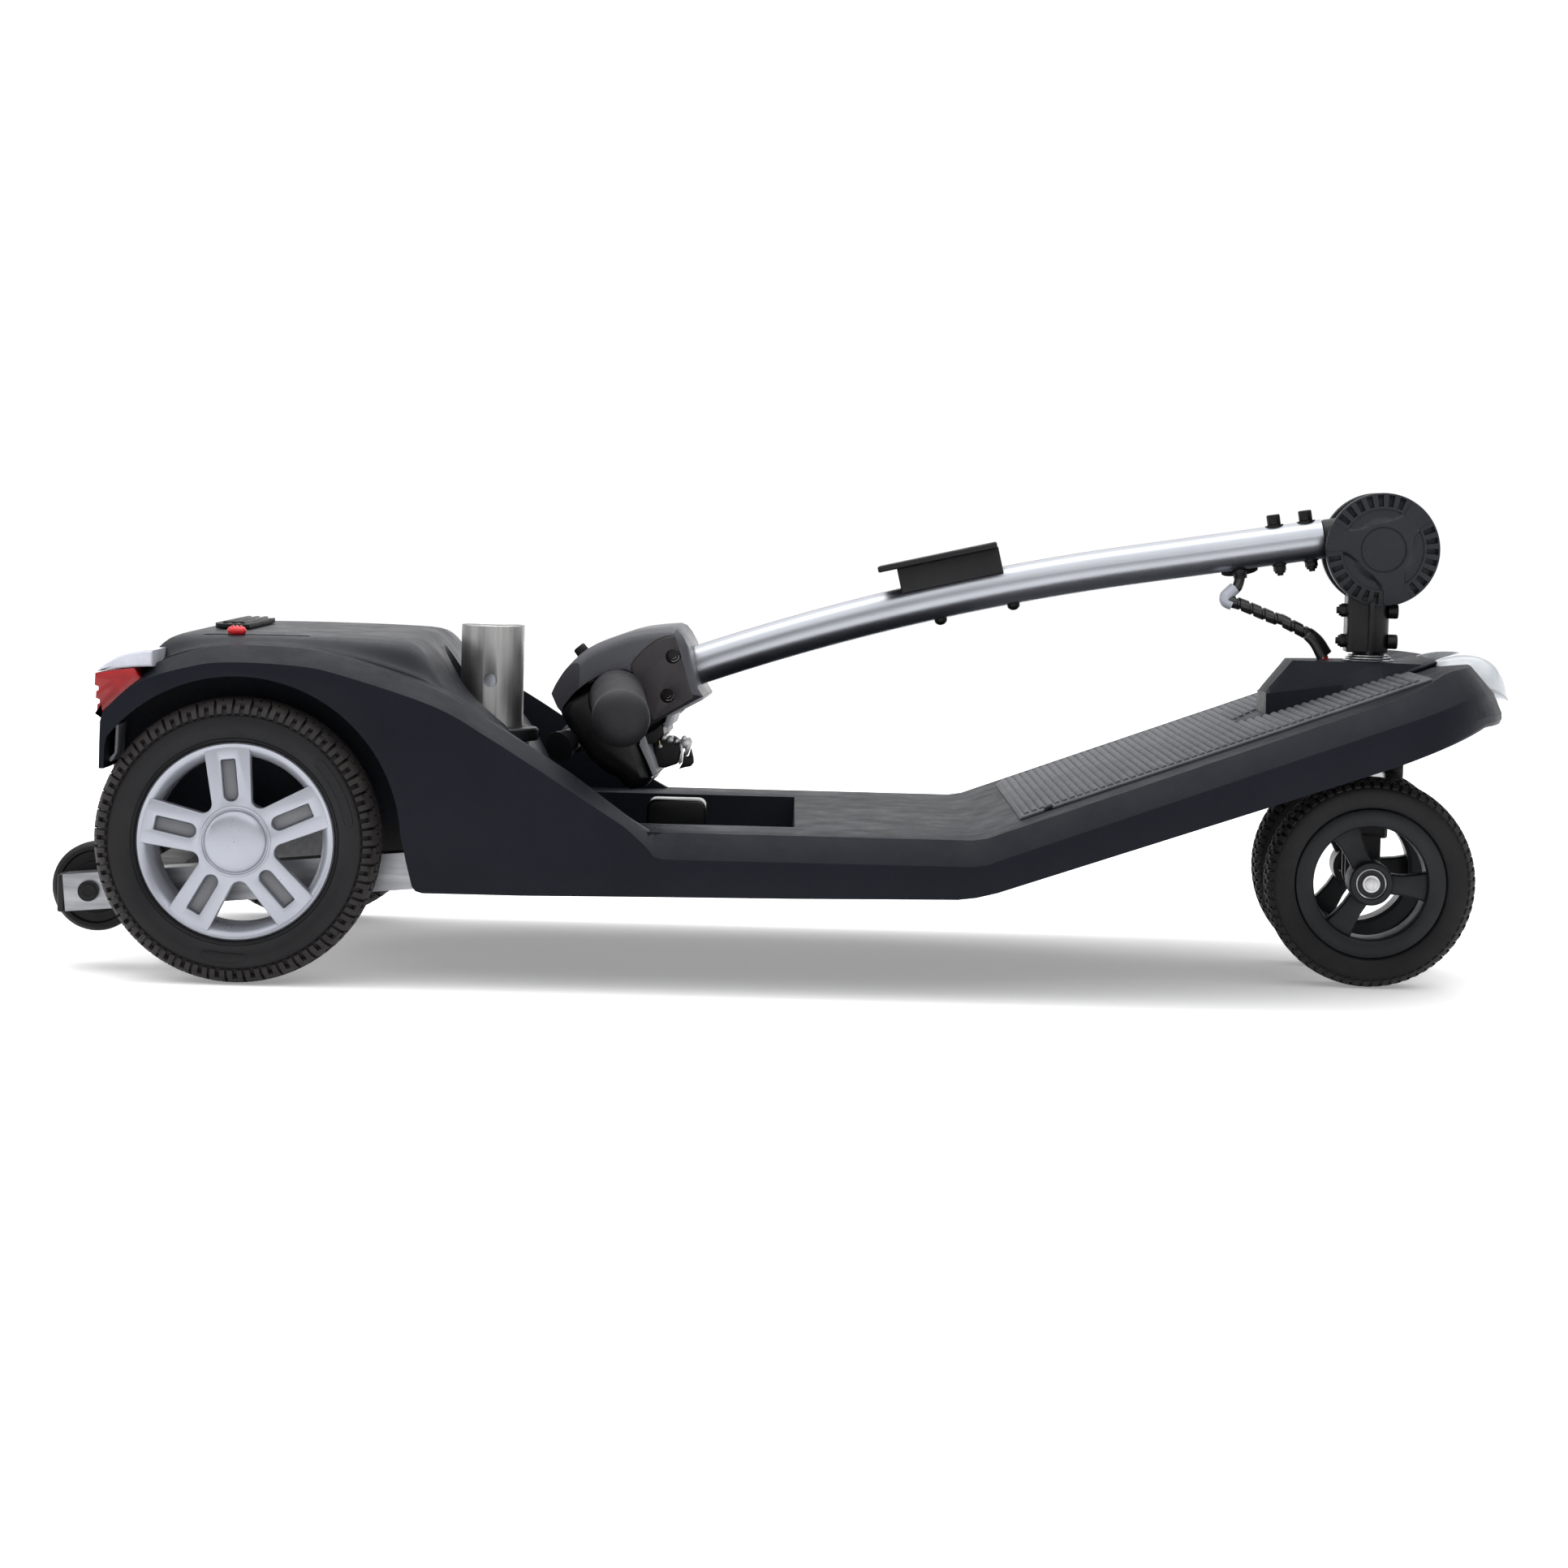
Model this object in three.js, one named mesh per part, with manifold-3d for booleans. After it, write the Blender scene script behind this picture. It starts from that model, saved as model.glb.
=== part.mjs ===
// A folding four-wheel electric mobility scooter, folded flat for the car boot.
// Seat and battery box are lifted off. Millimetres, +X forward, +Y to the left, +Z up.
// The origin is on the ground under the middle of the overall length and width.
import * as THREE from 'three';
import { mergeVertices } from 'three/addons/utils/BufferGeometryUtils.js';
import Module from 'manifold-3d';

const wasm = await Module();
wasm.setup();

// ---------------------------------------------------------------- driving dimensions
const GAP = 0.3;                    // clearance between pieces that rest on each other
const rad = THREE.MathUtils.degToRad;

const rearAxleX = -369;
const rearTyreR = 95;
const rearTyreW = 54;
const rearRimR = 66;
const rearTrack = 420;

const steerX = 406;                 // vertical steering axis
const restSteer = rad(-2.8);        // the bars are left turned a little to the right
const frontTyreR = 73.5;
const frontTyreW = 44;
const frontRimR = 52.5;
const frontTrack = 132;

const antiTipX = -475;
const antiTipZ = 54;
const antiTipR = 30.5;
const antiTipW = 20;
const antiTipY = 132;

const bodyHalfW = 229;
const deckTop = 107;
const skirtBottom = 66;
const bevelDrop = 16;               // the deck's long edge bevel, down and across
const bevelIn = 17;
const kinkX = 123;                  // where the flat deck turns up into the ramp
const rampSlope = Math.tan(rad(20.2));
const rampTop = (x) => deckTop + (x - kinkX) * rampSlope;
const skirtLine = (x) => skirtBottom + (x - kinkX + 6) * Math.tan(rad(19.5));
const skin = 3;

const railY = 157;
const railSize = 25;
const railDeckZ = 84;

const coverTop = 229;
const leverSlot = { x0: -403, x1: -331, y0: -151, y1: -145 };   // for the freewheel lever
const shroud = { baseX: 323, topX: 347, endX: 443, top: 225, halfBase: 60, halfTop: 50 };
const seatTubeX = -218;
const seatTubeR = 22.4;

const foldX = 411.5;                // tiller fold pin
const foldZ = 305;
const foldCoverR = 40;
const stemR = 11;
const tubeR = 14;
const tubeEndX = 376;
const tubeEndZ = 312;
const tubeEndSlope = rad(9.3);
const tubeStraight = 140;
const tubeArcR = 1750;
const tubeLength = 481;
const tubeSteps = 11;

// ---------------------------------------------------------------- materials
const finish = (color, roughness, metalness = 0, opacity = 1) => new THREE.MeshStandardMaterial({
  color, roughness, metalness, opacity, transparent: opacity < 1,
});
const look = {
  shell: () => finish(0x2b2f37, 0.62),
  black: () => finish(0x17181b, 0.5),
  rubber: () => finish(0x1a1b1d, 0.85),
  rim: () => finish(0xb9bcc4, 0.35, 0.6),
  silver: () => finish(0xb4b6ba, 0.35, 0.8),
  anodised: () => finish(0xc6cacf, 0.3, 0.9),
  steel: () => finish(0x8b8a86, 0.4, 0.8),
  frame: () => finish(0x202225, 0.5, 0.2),
  red: () => finish(0xc21f28, 0.3),
  clear: () => finish(0xe8ecef, 0.15, 0, 0.6),
  redLens: () => finish(0xa80f1a, 0.15),
};

// ---------------------------------------------------------------- solid helpers
function solid(geometry) {
  const bare = geometry.clone();
  bare.deleteAttribute('normal');
  bare.deleteAttribute('uv');
  const merged = mergeVertices(bare, 1e-4);
  const vertProperties = new Float32Array(merged.attributes.position.array);
  const make = (index) => new wasm.Manifold(
    new wasm.Mesh({ numProp: 3, vertProperties, triVerts: new Uint32Array(index) }));
  const index = Array.from(merged.index.array);
  const body = make(index);
  return body.volume() < 0 ? make(index.reverse()) : body;
}

function toGeometry(manifold) {
  const mesh = manifold.getMesh();
  const geometry = new THREE.BufferGeometry();
  geometry.setAttribute('position', new THREE.BufferAttribute(new Float32Array(mesh.vertProperties), 3));
  geometry.setIndex(new THREE.BufferAttribute(new Uint32Array(mesh.triVerts), 1));
  geometry.computeVertexNormals();
  return geometry;
}

const joined = (...parts) => parts.reduce((all, part) => all.add(part));
const cut = (body, ...tools) => tools.reduce((left, tool) => left.subtract(tool), body);

// An outline as [[u, v], ...], or as a ready Shape.
const shapeOf = (outline) => (
  outline instanceof THREE.Shape ? outline : new THREE.Shape(outline.map(([u, v]) => new THREE.Vector2(u, v))));

// A prism of a side outline (x, z), from y0 to y1.
function sidePrism(outline, y0, y1) {
  const geometry = new THREE.ExtrudeGeometry(shapeOf(outline), {
    depth: y1 - y0, bevelEnabled: false, curveSegments: 10,
  });
  geometry.rotateX(Math.PI / 2);
  geometry.translate(0, y1, 0);
  return solid(geometry);
}

// A prism of a front outline (y, z), from x0 to x1.
function frontPrism(outline, x0, x1) {
  const geometry = new THREE.ExtrudeGeometry(shapeOf(outline), {
    depth: x1 - x0, bevelEnabled: false, curveSegments: 10,
  });
  const turn = new THREE.Matrix4().makeBasis(
    new THREE.Vector3(0, 1, 0), new THREE.Vector3(0, 0, 1), new THREE.Vector3(1, 0, 0));
  geometry.applyMatrix4(turn);
  geometry.translate(x0, 0, 0);
  return solid(geometry);
}

function box(x0, x1, y0, y1, z0, z1) {
  const geometry = new THREE.BoxGeometry(x1 - x0, y1 - y0, z1 - z0);
  geometry.translate((x0 + x1) / 2, (y0 + y1) / 2, (z0 + z1) / 2);
  return solid(geometry);
}

// A round rod (or a cone) between two points.
function rod(from, to, r0, r1 = r0, sides = 20) {
  const a = new THREE.Vector3(...from);
  const b = new THREE.Vector3(...to);
  const geometry = new THREE.CylinderGeometry(r1, r0, a.distanceTo(b), sides);
  const along = b.clone().sub(a).normalize();
  const turn = new THREE.Quaternion().setFromUnitVectors(new THREE.Vector3(0, 1, 0), along);
  geometry.applyQuaternion(turn);
  geometry.translate((a.x + b.x) / 2, (a.y + b.y) / 2, (a.z + b.z) / 2);
  return solid(geometry);
}

const ring = (from, to, outer, inner, sides = 28) => {
  const a = new THREE.Vector3(...from);
  const b = new THREE.Vector3(...to);
  const past = b.clone().sub(a).normalize();
  const start = a.clone().sub(past);
  const end = b.clone().add(past);
  return cut(rod(from, to, outer, outer, sides), rod(start.toArray(), end.toArray(), inner, inner, sides));
};

// A solid of revolution about an axis along +Y through (x, y, z). The profile is [[radius, offset], ...].
function turned(profile, x, y, z, sides = 40) {
  const points = profile.map(([r, offset]) => new THREE.Vector2(r, offset));
  const geometry = new THREE.LatheGeometry(points, sides);
  geometry.translate(x, y, z);
  return solid(geometry);
}

// A solid through matching convex rings of points, closed with flat ends.
function loft(rings) {
  const count = rings[0].length;
  const positions = [];
  const index = [];
  rings.forEach((points) => points.forEach((p) => positions.push(...p)));
  for (let r = 0; r + 1 < rings.length; r += 1) {
    for (let k = 0; k < count; k += 1) {
      const next = (k + 1) % count;
      const a = r * count + k;
      const b = r * count + next;
      index.push(a, b, b + count, a, b + count, a + count);
    }
  }
  const last = (rings.length - 1) * count;
  for (let k = 1; k + 1 < count; k += 1) {
    index.push(0, k + 1, k);
    index.push(last, last + k, last + k + 1);
  }
  const geometry = new THREE.BufferGeometry();
  geometry.setAttribute('position', new THREE.Float32BufferAttribute(positions, 3));
  geometry.setIndex(index);
  return solid(geometry);
}

// A round section swept along a curve.
function swept(curve, radius, steps, sides = 20) {
  const section = new THREE.Shape();
  for (let k = 0; k < sides; k += 1) {
    const angle = (k / sides) * 2 * Math.PI;
    const x = radius * Math.cos(angle);
    const y = radius * Math.sin(angle);
    if (k === 0) section.moveTo(x, y);
    else section.lineTo(x, y);
  }
  section.closePath();
  return solid(new THREE.ExtrudeGeometry(section, { steps, extrudePath: curve, bevelEnabled: false }));
}

// A round rod along straight stretches that all lie in the plane with this normal, mitred at its knees.
function bentRod(points, normal, radius, sides = 20) {
  const rings = points.map((point, k) => {
    const inward = point.clone().sub(points[Math.max(k - 1, 0)]).normalize();
    const outward = points[Math.min(k + 1, points.length - 1)].clone().sub(point).normalize();
    const along = inward.clone().add(outward).normalize();
    const stretch = 1 / Math.max(along.dot(k === 0 ? outward : inward), 0.5);
    const across = along.clone().cross(normal).normalize();
    return Array.from({ length: sides }, (_, j) => {
      const angle = (j / sides) * 2 * Math.PI;
      return point.clone()
        .addScaledVector(normal, radius * Math.cos(angle))
        .addScaledVector(across, radius * stretch * Math.sin(angle))
        .toArray();
    });
  });
  return loft(rings);
}

const mirrored = (body) => body.mirror([0, 1, 0]);
const v3 = (x, y, z) => new THREE.Vector3(x, y, z);
const cableBase = v3(374, -2, 226);  // where the cable goes into the front shroud

// ---------------------------------------------------------------- scene graph
const scooter = new THREE.Group();
const steerGroup = new THREE.Group();
steerGroup.position.set(steerX, 0, 0);
steerGroup.rotation.z = restSteer;
scooter.add(steerGroup);

function place(name, body, material) {
  const mesh = new THREE.Mesh(toGeometry(body), material);
  mesh.name = name;
  scooter.add(mesh);
  return mesh;
}

// Pieces that turn with the steering are drawn straight ahead and turned by their group.
function placeSteered(name, body, material) {
  const geometry = toGeometry(body);
  geometry.translate(-steerX, 0, 0);
  const mesh = new THREE.Mesh(geometry, material);
  mesh.name = name;
  steerGroup.add(mesh);
  return mesh;
}

// A pair: the drawn body is the right one (y < 0), its mirror image the left one.
function placePair(name, body, makeMaterial, put = place) {
  put(`${name}_right`, body, makeMaterial());
  put(`${name}_left`, mirrored(body), makeMaterial());
}

// ---------------------------------------------------------------- frame
function buildFrame() {
  const half = railSize / 2;
  const rearEnd = [-492, 52];
  const slantEnd = [-248, 74];
  const deckFront = [112, railDeckZ];
  const rampEnd = [372, railDeckZ + 94.6];
  const path = [rearEnd, slantEnd, [-222, railDeckZ], deckFront, rampEnd];
  const rings = path.map(([x, z], k) => {
    const before = path[Math.max(k - 1, 0)];
    const after = path[Math.min(k + 1, path.length - 1)];
    const angleIn = Math.atan2(z - before[1], x - before[0]);
    const angleOut = Math.atan2(after[1] - z, after[0] - x);
    const lean = k === 0 ? angleOut : (k === path.length - 1 ? angleIn : (angleIn + angleOut) / 2);
    const rise = half / Math.cos((angleOut - angleIn) * (k > 0 && k + 1 < path.length ? 0.5 : 0));
    const up = [-Math.sin(lean) * rise, Math.cos(lean) * rise];
    return [
      [x - up[0], -railY - half, z - up[1]],
      [x - up[0], -railY + half, z - up[1]],
      [x + up[0], -railY + half, z + up[1]],
      [x + up[0], -railY - half, z + up[1]],
    ];
  });
  const boltR = 4.3;
  const boltHole = rod([antiTipX, -railY - railSize, antiTipZ], [antiTipX, -railY + railSize, antiTipZ], boltR);
  placePair('frame_rail', cut(loft(rings), boltHole), look.silver);

  const inner = railY - half - GAP;
  const tube = (x, z) => box(x - half, x + half, -inner, inner, z - half, z + half);
  const rearTubeX = -430;
  const rearTubeZ = 58;
  place('rear_cross_tube', tube(rearTubeX, rearTubeZ), look.frame());
  place('middle_cross_tube', tube(seatTubeX, railDeckZ), look.frame());

  const frontX = 350;
  const frontZ = 169;
  const gussetHalf = 9;
  const gusset = sidePrism([
    [frontX, frontZ - half], [steerX, 150], [steerX, 200], [frontX, frontZ + half],
  ], -gussetHalf, gussetHalf);
  const head = { r: 17, bore: 12.6, low: 140, high: 224.5 };
  const bracket = cut(
    joined(tube(frontX, frontZ), gusset),
    rod([steerX, 0, head.low - 40], [steerX, 0, head.high + 16], head.r + GAP, head.r + GAP, 32));
  place('front_cross_bracket', bracket, look.frame());
  place('head_tube', ring([steerX, 0, head.low], [steerX, 0, head.high], head.r, head.bore), look.silver());
  const race = { r: 18, low: head.high + GAP, high: 229.2 };
  const bearing = ring([steerX, 0, race.low], [steerX, 0, race.high], race.r, stemR + GAP);
  place('headset_bearing', bearing, look.steel());
}

// ---------------------------------------------------------------- body mouldings
function deckRing(xTop, xBottom, zTop, zBottom, halfW, inset = 0) {
  const w = halfW - inset;
  const drop = bevelDrop;
  const edge = Math.max(w - bevelIn, 1);
  return [
    [xBottom, -w, zBottom], [xTop, -w, zTop - drop], [xTop, -edge, zTop],
    [xTop, edge, zTop], [xTop, w, zTop - drop], [xBottom, w, zBottom],
  ];
}

const pocket = { x0: -165, x1: 0, halfW: 140, floor: 72 };
const deckStart = -94.5;
const noseStations = [
  [400, bodyHalfW, 0], [436, 221, 0], [460, 201, 2], [478, 172, 8], [490, 135, 15], [498, 85, 22],
];

// The clear lens that wraps over the middle of the nose.
function noseLens(grow) {
  const stations = [
    [446, 92, 229.5, 224], [462, 96, 233.5, 216], [480, 88, 232, 206],
    [494, 72, 224, 200], [504, 44, 210, 197], [506, 34, 203, 198],
  ];
  return loft(stations.map(([x, w, top, bottom]) => {
    const half = w + grow;
    const crown = top + grow;
    return [
      [x, -half, bottom - grow], [x, -half, bottom + (crown - bottom) * 0.45], [x, -half * 0.72, crown - 1.5],
      [x, half * 0.72, crown - 1.5], [x, half, bottom + (crown - bottom) * 0.45], [x, half, bottom - grow],
    ];
  }));
}

function buildDeck() {
  const bottomKink = kinkX - 6;
  const openBelow = 30;               // how far the hollow runs out below the skirt
  const noseLow = 190;                // lowest edge round the middle of the nose
  const fallShare = 0.6;
  const noseRing = ([x, w, fall]) => deckRing(
    x, x, rampTop(x) - fall * fallShare, Math.min(skirtLine(x) + fall / 2, noseLow), w);
  const outer = loft([
    deckRing(deckStart, deckStart, deckTop, skirtBottom, bodyHalfW),
    deckRing(kinkX, bottomKink, deckTop, skirtBottom, bodyHalfW),
    ...noseStations.map(noseRing),
  ]);
  const noseWall = 4;
  const hollowStations = noseStations.slice(0, 4).map(([x, w, fall]) => [x - noseWall, w, fall]);
  const inner = loft([
    deckRing(deckStart - 1, deckStart - 1, deckTop - skin, skirtBottom - openBelow, bodyHalfW, skin),
    deckRing(kinkX, bottomKink, deckTop - skin, skirtBottom - openBelow, bodyHalfW, skin),
    ...hollowStations.map(([x, w, fall]) => deckRing(
      x, x, rampTop(x) - fall * fallShare - skin, skirtLine(x) - openBelow, w, skin + 1)),
  ]);
  const floorStart = -173;
  const floorHalf = 184;
  const floor = box(floorStart, deckStart + 1, -floorHalf, floorHalf, deckTop - skin, deckTop);
  const tubWall = 2.6;
  const tub = box(
    pocket.x0 - skin, pocket.x1 + skin, -pocket.halfW - tubWall, pocket.halfW + tubWall,
    pocket.floor - 2.4, deckTop - 1);
  const hollow = box(pocket.x0, pocket.x1, -pocket.halfW, pocket.halfW, pocket.floor, deckTop + 5);
  const headHoleR = 22;
  const cableHoleR = 9;
  const upright = (x, r) => rod([x, 0, deckTop], [x, 0, foldZ], r);
  const deck = cut(
    joined(cut(outer, inner), floor, tub),
    hollow, upright(steerX, headHoleR), upright(cableBase.x, cableHoleR), noseLens(GAP));
  place('deck_shroud', deck, look.shell());
  place('headlight_lens', noseLens(0), look.clear());
}

function buildMat() {
  const thick = 2.2;
  const x0 = 153;
  const x1 = 428;
  const halfW = 163;
  const marginX = 1;
  const marginY = 2;
  const slab = sidePrism([
    [x0, rampTop(x0) + GAP], [x1, rampTop(x1) + GAP], [x1, rampTop(x1) + GAP + thick],
    [x0, rampTop(x0) + GAP + thick],
  ], -halfW, halfW);
  const gapHalf = shroud.halfBase + marginY;
  const forShroud = box(shroud.baseX - marginX, x1 + marginX, -gapHalf, gapHalf, deckTop, coverTop);
  place('foot_mat', cut(slab, forShroud), look.black());
}

function buildFrontShroud() {
  const toeTop = 204;
  const wall = 5;
  const ringAt = (x, top, halfTop) => {
    const z = rampTop(x) + GAP;
    const h = Math.max(top, z + 2 * GAP);
    return [[x, -shroud.halfBase, z], [x, -halfTop, h], [x, halfTop, h], [x, shroud.halfBase, z]];
  };
  const outer = loft([
    ringAt(shroud.baseX, toeTop, shroud.halfBase - 3),
    ringAt(shroud.topX, shroud.top, shroud.halfTop),
    ringAt(shroud.endX, shroud.top, shroud.halfTop + 4),
  ]);
  const cavityAt = (x, top) => {
    const base = shroud.halfBase - wall;
    const crown = shroud.halfTop - 4;
    const low = rampTop(x) - 2 * wall;
    return [[x, -base, low], [x, -crown, top], [x, crown, top], [x, base, low]];
  };
  const cavityTop = shroud.top - skin;
  const cavityEnd = 428;
  const cavity = loft([
    cavityAt(shroud.baseX + wall, toeTop - 2),
    cavityAt(shroud.topX + 2, cavityTop),
    cavityAt(cavityEnd, cavityTop),
  ]);
  const stemHoleR = 18.4;
  const cableHoleR = 6;
  const below = 190;
  const above = 240;
  const stemHole = rod([steerX, 0, below], [steerX, 0, above], stemHoleR, stemHoleR, 32);
  const cableHole = rod([cableBase.x, cableBase.y, below], [cableBase.x, cableBase.y, above], cableHoleR);
  place('front_shroud', cut(outer, cavity, stemHole, cableHole), look.shell());
}

// Height of the wheel-arch panel's outer crest along its length.
const crest = [
  [-459.7, 176], [-434, 198.7], [-400.5, 209.7], [-374, 213], [-332.6, 212], [-303, 208.5],
  [-240, 188.2], [-203.4, 168.3], [-168.7, 147.5], [-95, 103],
];

function crestZ(x) {
  const k = Math.max(crest.findIndex(([cx]) => cx >= x), 1);
  const [x0, z0] = crest[k - 1];
  const [x1, z1] = crest[k];
  return z0 + ((x - x0) / (x1 - x0)) * (z1 - z0);
}

function buildSidePanels() {
  const archR = 109;
  const tailX = -456.5;
  const tailFoot = 141;
  const fenderEnd = -303;
  const coverFoot = -175.6;
  const innerOver = 170;
  const innerDeck = 186;
  const shoulderY = 200;
  const bevelRise = 11;
  const deckRise = 3;
  const skirtFoot = skirtBottom - 2;
  const ringAt = (x, inner, footZ) => {
    const top = crestZ(x);
    const rise = inner === innerOver ? bevelRise : deckRise;
    return [
      [x, -bodyHalfW, footZ], [x, -inner, footZ], [x, -inner, top + rise], [x, -shoulderY, top + bevelRise],
      [x, -bodyHalfW, top],
    ];
  };
  const hollowAt = (x, inner) => {
    const top = crestZ(x) - skin;
    const rise = inner === innerOver ? bevelRise : deckRise;
    const side = bodyHalfW - skin;
    const depth = 20 * skin;
    const inside = inner + skin;
    return [
      [x, -side, skirtFoot - depth], [x, -inside, skirtFoot - depth], [x, -inside, top + rise],
      [x, -shoulderY, top + bevelRise], [x, -side, top],
    ];
  };
  const fenderStations = [tailX - 3.2, -434, -400.5, -374, -332.6, fenderEnd];
  const sideStations = [fenderEnd - 0.2, -240, coverFoot];
  const slopeStations = [coverFoot - 0.2, -168.7, -95];
  const outer = joined(
    loft(fenderStations.map((x) => ringAt(x, innerOver, tailFoot))),
    loft(sideStations.map((x) => ringAt(x, innerOver, skirtFoot))),
    loft(slopeStations.map((x) => ringAt(x, innerDeck, skirtFoot))));
  const hollow = joined(
    loft([-248, -240, coverFoot - 3].map((x) => hollowAt(x, innerOver))),
    loft([coverFoot - 3.2, -168.7, -98].map((x) => hollowAt(x, innerDeck))));
  const arch = new THREE.Shape();
  arch.absarc(rearAxleX, rearTyreR, archR, 0, 2 * Math.PI, false);
  const outY = 240;
  const inY = 150;
  const well = sidePrism(arch, -outY, -inY).intersect(box(tailX, -shoulderY, -outY, -inY, -50, 260));
  const legEdge = -244;
  const underWell = box(tailX, legEdge, -outY, -inY, 0, rearTyreR);
  const panel = cut(outer, hollow, well, underWell, tailLight(GAP));
  placePair('side_panel', panel, look.shell);
}

const coverSide = [
  [-447, 150], [-447, 204], [-425, coverTop], [-262, coverTop], [-233.8, 189], [-206, 166], [-178, 118],
  [-176.5, 104.3], [-330, 104.3], [-330, 150],
];

function buildRearCover() {
  const half = 165;
  const shoulder = 7;
  const crown = 27;
  const lowZ = 80;
  const sideZ = 205;
  const section = [
    [-half, lowZ], [half, lowZ], [half, sideZ], [half - shoulder, coverTop - 3], [half - crown, coverTop + 1],
    [-half + crown, coverTop + 1], [-half + shoulder, coverTop - 3], [-half, sideZ],
  ];
  const endX = -460;
  const toeX = -150;
  const outer = sidePrism(coverSide, -half, half).intersect(frontPrism(section, endX, toeX));
  const openZ = 60;
  const innerProfile = [
    [-447 + skin, 90], [-447 + skin, 203], [-424, coverTop - skin], [-264, coverTop - skin],
    [-237, 187], [-209, 164], [-181.5, 117], [-180, 90],
  ];
  const innerSection = section.map(([y, z]) => [y * (1 - skin / half), z > sideZ - skin ? z - skin : openZ]);
  const innerSide = sidePrism(innerProfile, -half + skin, half - skin);
  const inner = innerSide.intersect(frontPrism(innerSection, endX, toeX));
  const recessFloor = 153;
  const recessR = 37;
  const recess = rod([seatTubeX, 0, recessFloor], [seatTubeX, 0, 260], recessR, recessR, 32);
  const liner = rod(
    [seatTubeX, 0, recessFloor - skin], [seatTubeX, 0, coverTop - 2], recessR + skin, recessR + skin, 32);
  const lined = joined(cut(outer, inner), liner.intersect(outer));
  const socketHoleR = 28;
  const socketHole = rod([seatTubeX, 0, 90], [seatTubeX, 0, 200], socketHoleR, socketHoleR, 32);
  const slot = box(leverSlot.x0, leverSlot.x1, leverSlot.y0, leverSlot.y1, 200, 240);
  const cover = cut(lined, recess, socketHole, slot, tailLight(GAP), mirrored(tailLight(GAP)));
  place('rear_cover', cover, look.shell());

  const bar = { x: -394.5, halfX: 12, halfY: 71, foot: coverTop + 1 + GAP, top: coverTop + 4.5 };
  const rib = { pitch: 6, halfX: 1.5, halfY: 66, top: coverTop + 6 };
  const ribs = [-rib.pitch, 0, rib.pitch].map((x) => box(
    bar.x + x - rib.halfX, bar.x + x + rib.halfX, -rib.halfY, rib.halfY, bar.top - 0.5, rib.top));
  const plate = box(bar.x - bar.halfX, bar.x + bar.halfX, -bar.halfY, bar.halfY, bar.foot, bar.top);
  place('rear_grip_bar', joined(plate, ...ribs), look.black());
}

function tailLight(grow) {
  const g = grow;
  const outerY = 222;
  const innerY = 152;
  const outline = [
    [-464 - g, 204], [-462 - g, 177 - g], [-457.5, 178 - g], [-434, 200.5 - g], [-428 + g, 208],
    [-426 + g, 219.5 + g], [-449, 216 + g],
  ];
  return sidePrism(outline, -outerY - g, -innerY + g);
}

function buildRearLights() {
  placePair('tail_light', tailLight(0), look.redLens);
}

function buildSeatPost() {
  const bottom = railDeckZ + railSize / 2 + GAP;
  const clearR = seatTubeR + 0.4;
  const flangeZ = 153;
  const flangeTop = 163;
  const flangeR = 34;
  const sleeveR = 27;
  const flange = ring([seatTubeX, 0, flangeZ + GAP], [seatTubeX, 0, flangeTop], flangeR, clearR);
  const sleeve = ring([seatTubeX, 0, bottom], [seatTubeX, 0, flangeZ + 1], sleeveR, clearR);
  place('seat_post_socket', joined(flange, sleeve), look.black());
  const tubeTop = 235;
  const tubeWall = 2.5;
  const tube = ring([seatTubeX, 0, bottom], [seatTubeX, 0, tubeTop], seatTubeR, seatTubeR - tubeWall);
  const pinZ = 196;
  const pinR = 5;
  const pinHole = rod([seatTubeX, -2 * seatTubeR, pinZ], [seatTubeX, 2 * seatTubeR, pinZ], pinR);
  place('seat_post_tube', cut(tube, pinHole), look.steel());
}

// ---------------------------------------------------------------- drive
function buildDrive() {
  const z = rearTyreR;
  const motorStart = -327;
  const motorEnd = -264;
  const gearbox = { halfY: 34, r: 40 };
  const sleeve = { halfY: 60, r: 24, boreR: 9, boreDepth: 10 };
  const neck = { halfY: 28, halfZ: 30 };
  const across = (from, to, r, sides = 32) => rod([rearAxleX, from, z], [rearAxleX, to, z], r, r, sides);
  const boreFrom = sleeve.halfY + 1;
  const boreTo = sleeve.halfY - sleeve.boreDepth;
  const housing = cut(
    joined(
      across(-gearbox.halfY, gearbox.halfY, gearbox.r),
      across(-sleeve.halfY, sleeve.halfY, sleeve.r),
      box(rearAxleX, motorStart, -neck.halfY, neck.halfY, z - neck.halfZ, z + neck.halfZ)),
    across(-boreFrom, -boreTo, sleeve.boreR, 20),
    across(boreFrom, boreTo, sleeve.boreR, 20));
  place('transaxle_housing', housing, look.silver());
  const motorR = 36;
  const brakeR = 24;
  const brakeEnd = motorEnd + 16;
  const motor = joined(
    rod([motorStart + GAP, 0, z], [motorEnd, 0, z], motorR, motorR, 32),
    rod([motorEnd - 1, 0, z], [brakeEnd, 0, z], brakeR, brakeR, 32));
  place('drive_motor', motor, look.black());
  place('motor_controller', box(-340, -262, 30, 130, 150, 184), look.black());
  place('battery_connector', box(-107, -64, 40, 72, pocket.floor + GAP, 110), look.black());

  const knobX = -381;
  const slotY = (leverSlot.y0 + leverSlot.y1) / 2;
  const plateAt = (halfX, halfY, low, high) => box(
    knobX - halfX, knobX + halfX, slotY - halfY, slotY + halfY, low, high);
  const slider = joined(
    plateAt(6, 7, coverTop + 1.4, coverTop + 5),
    plateAt(2, 2, 205, coverTop + 2),
    plateAt(9, 8, 214, 217));
  place('freewheel_slider', slider, look.red());
}

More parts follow.
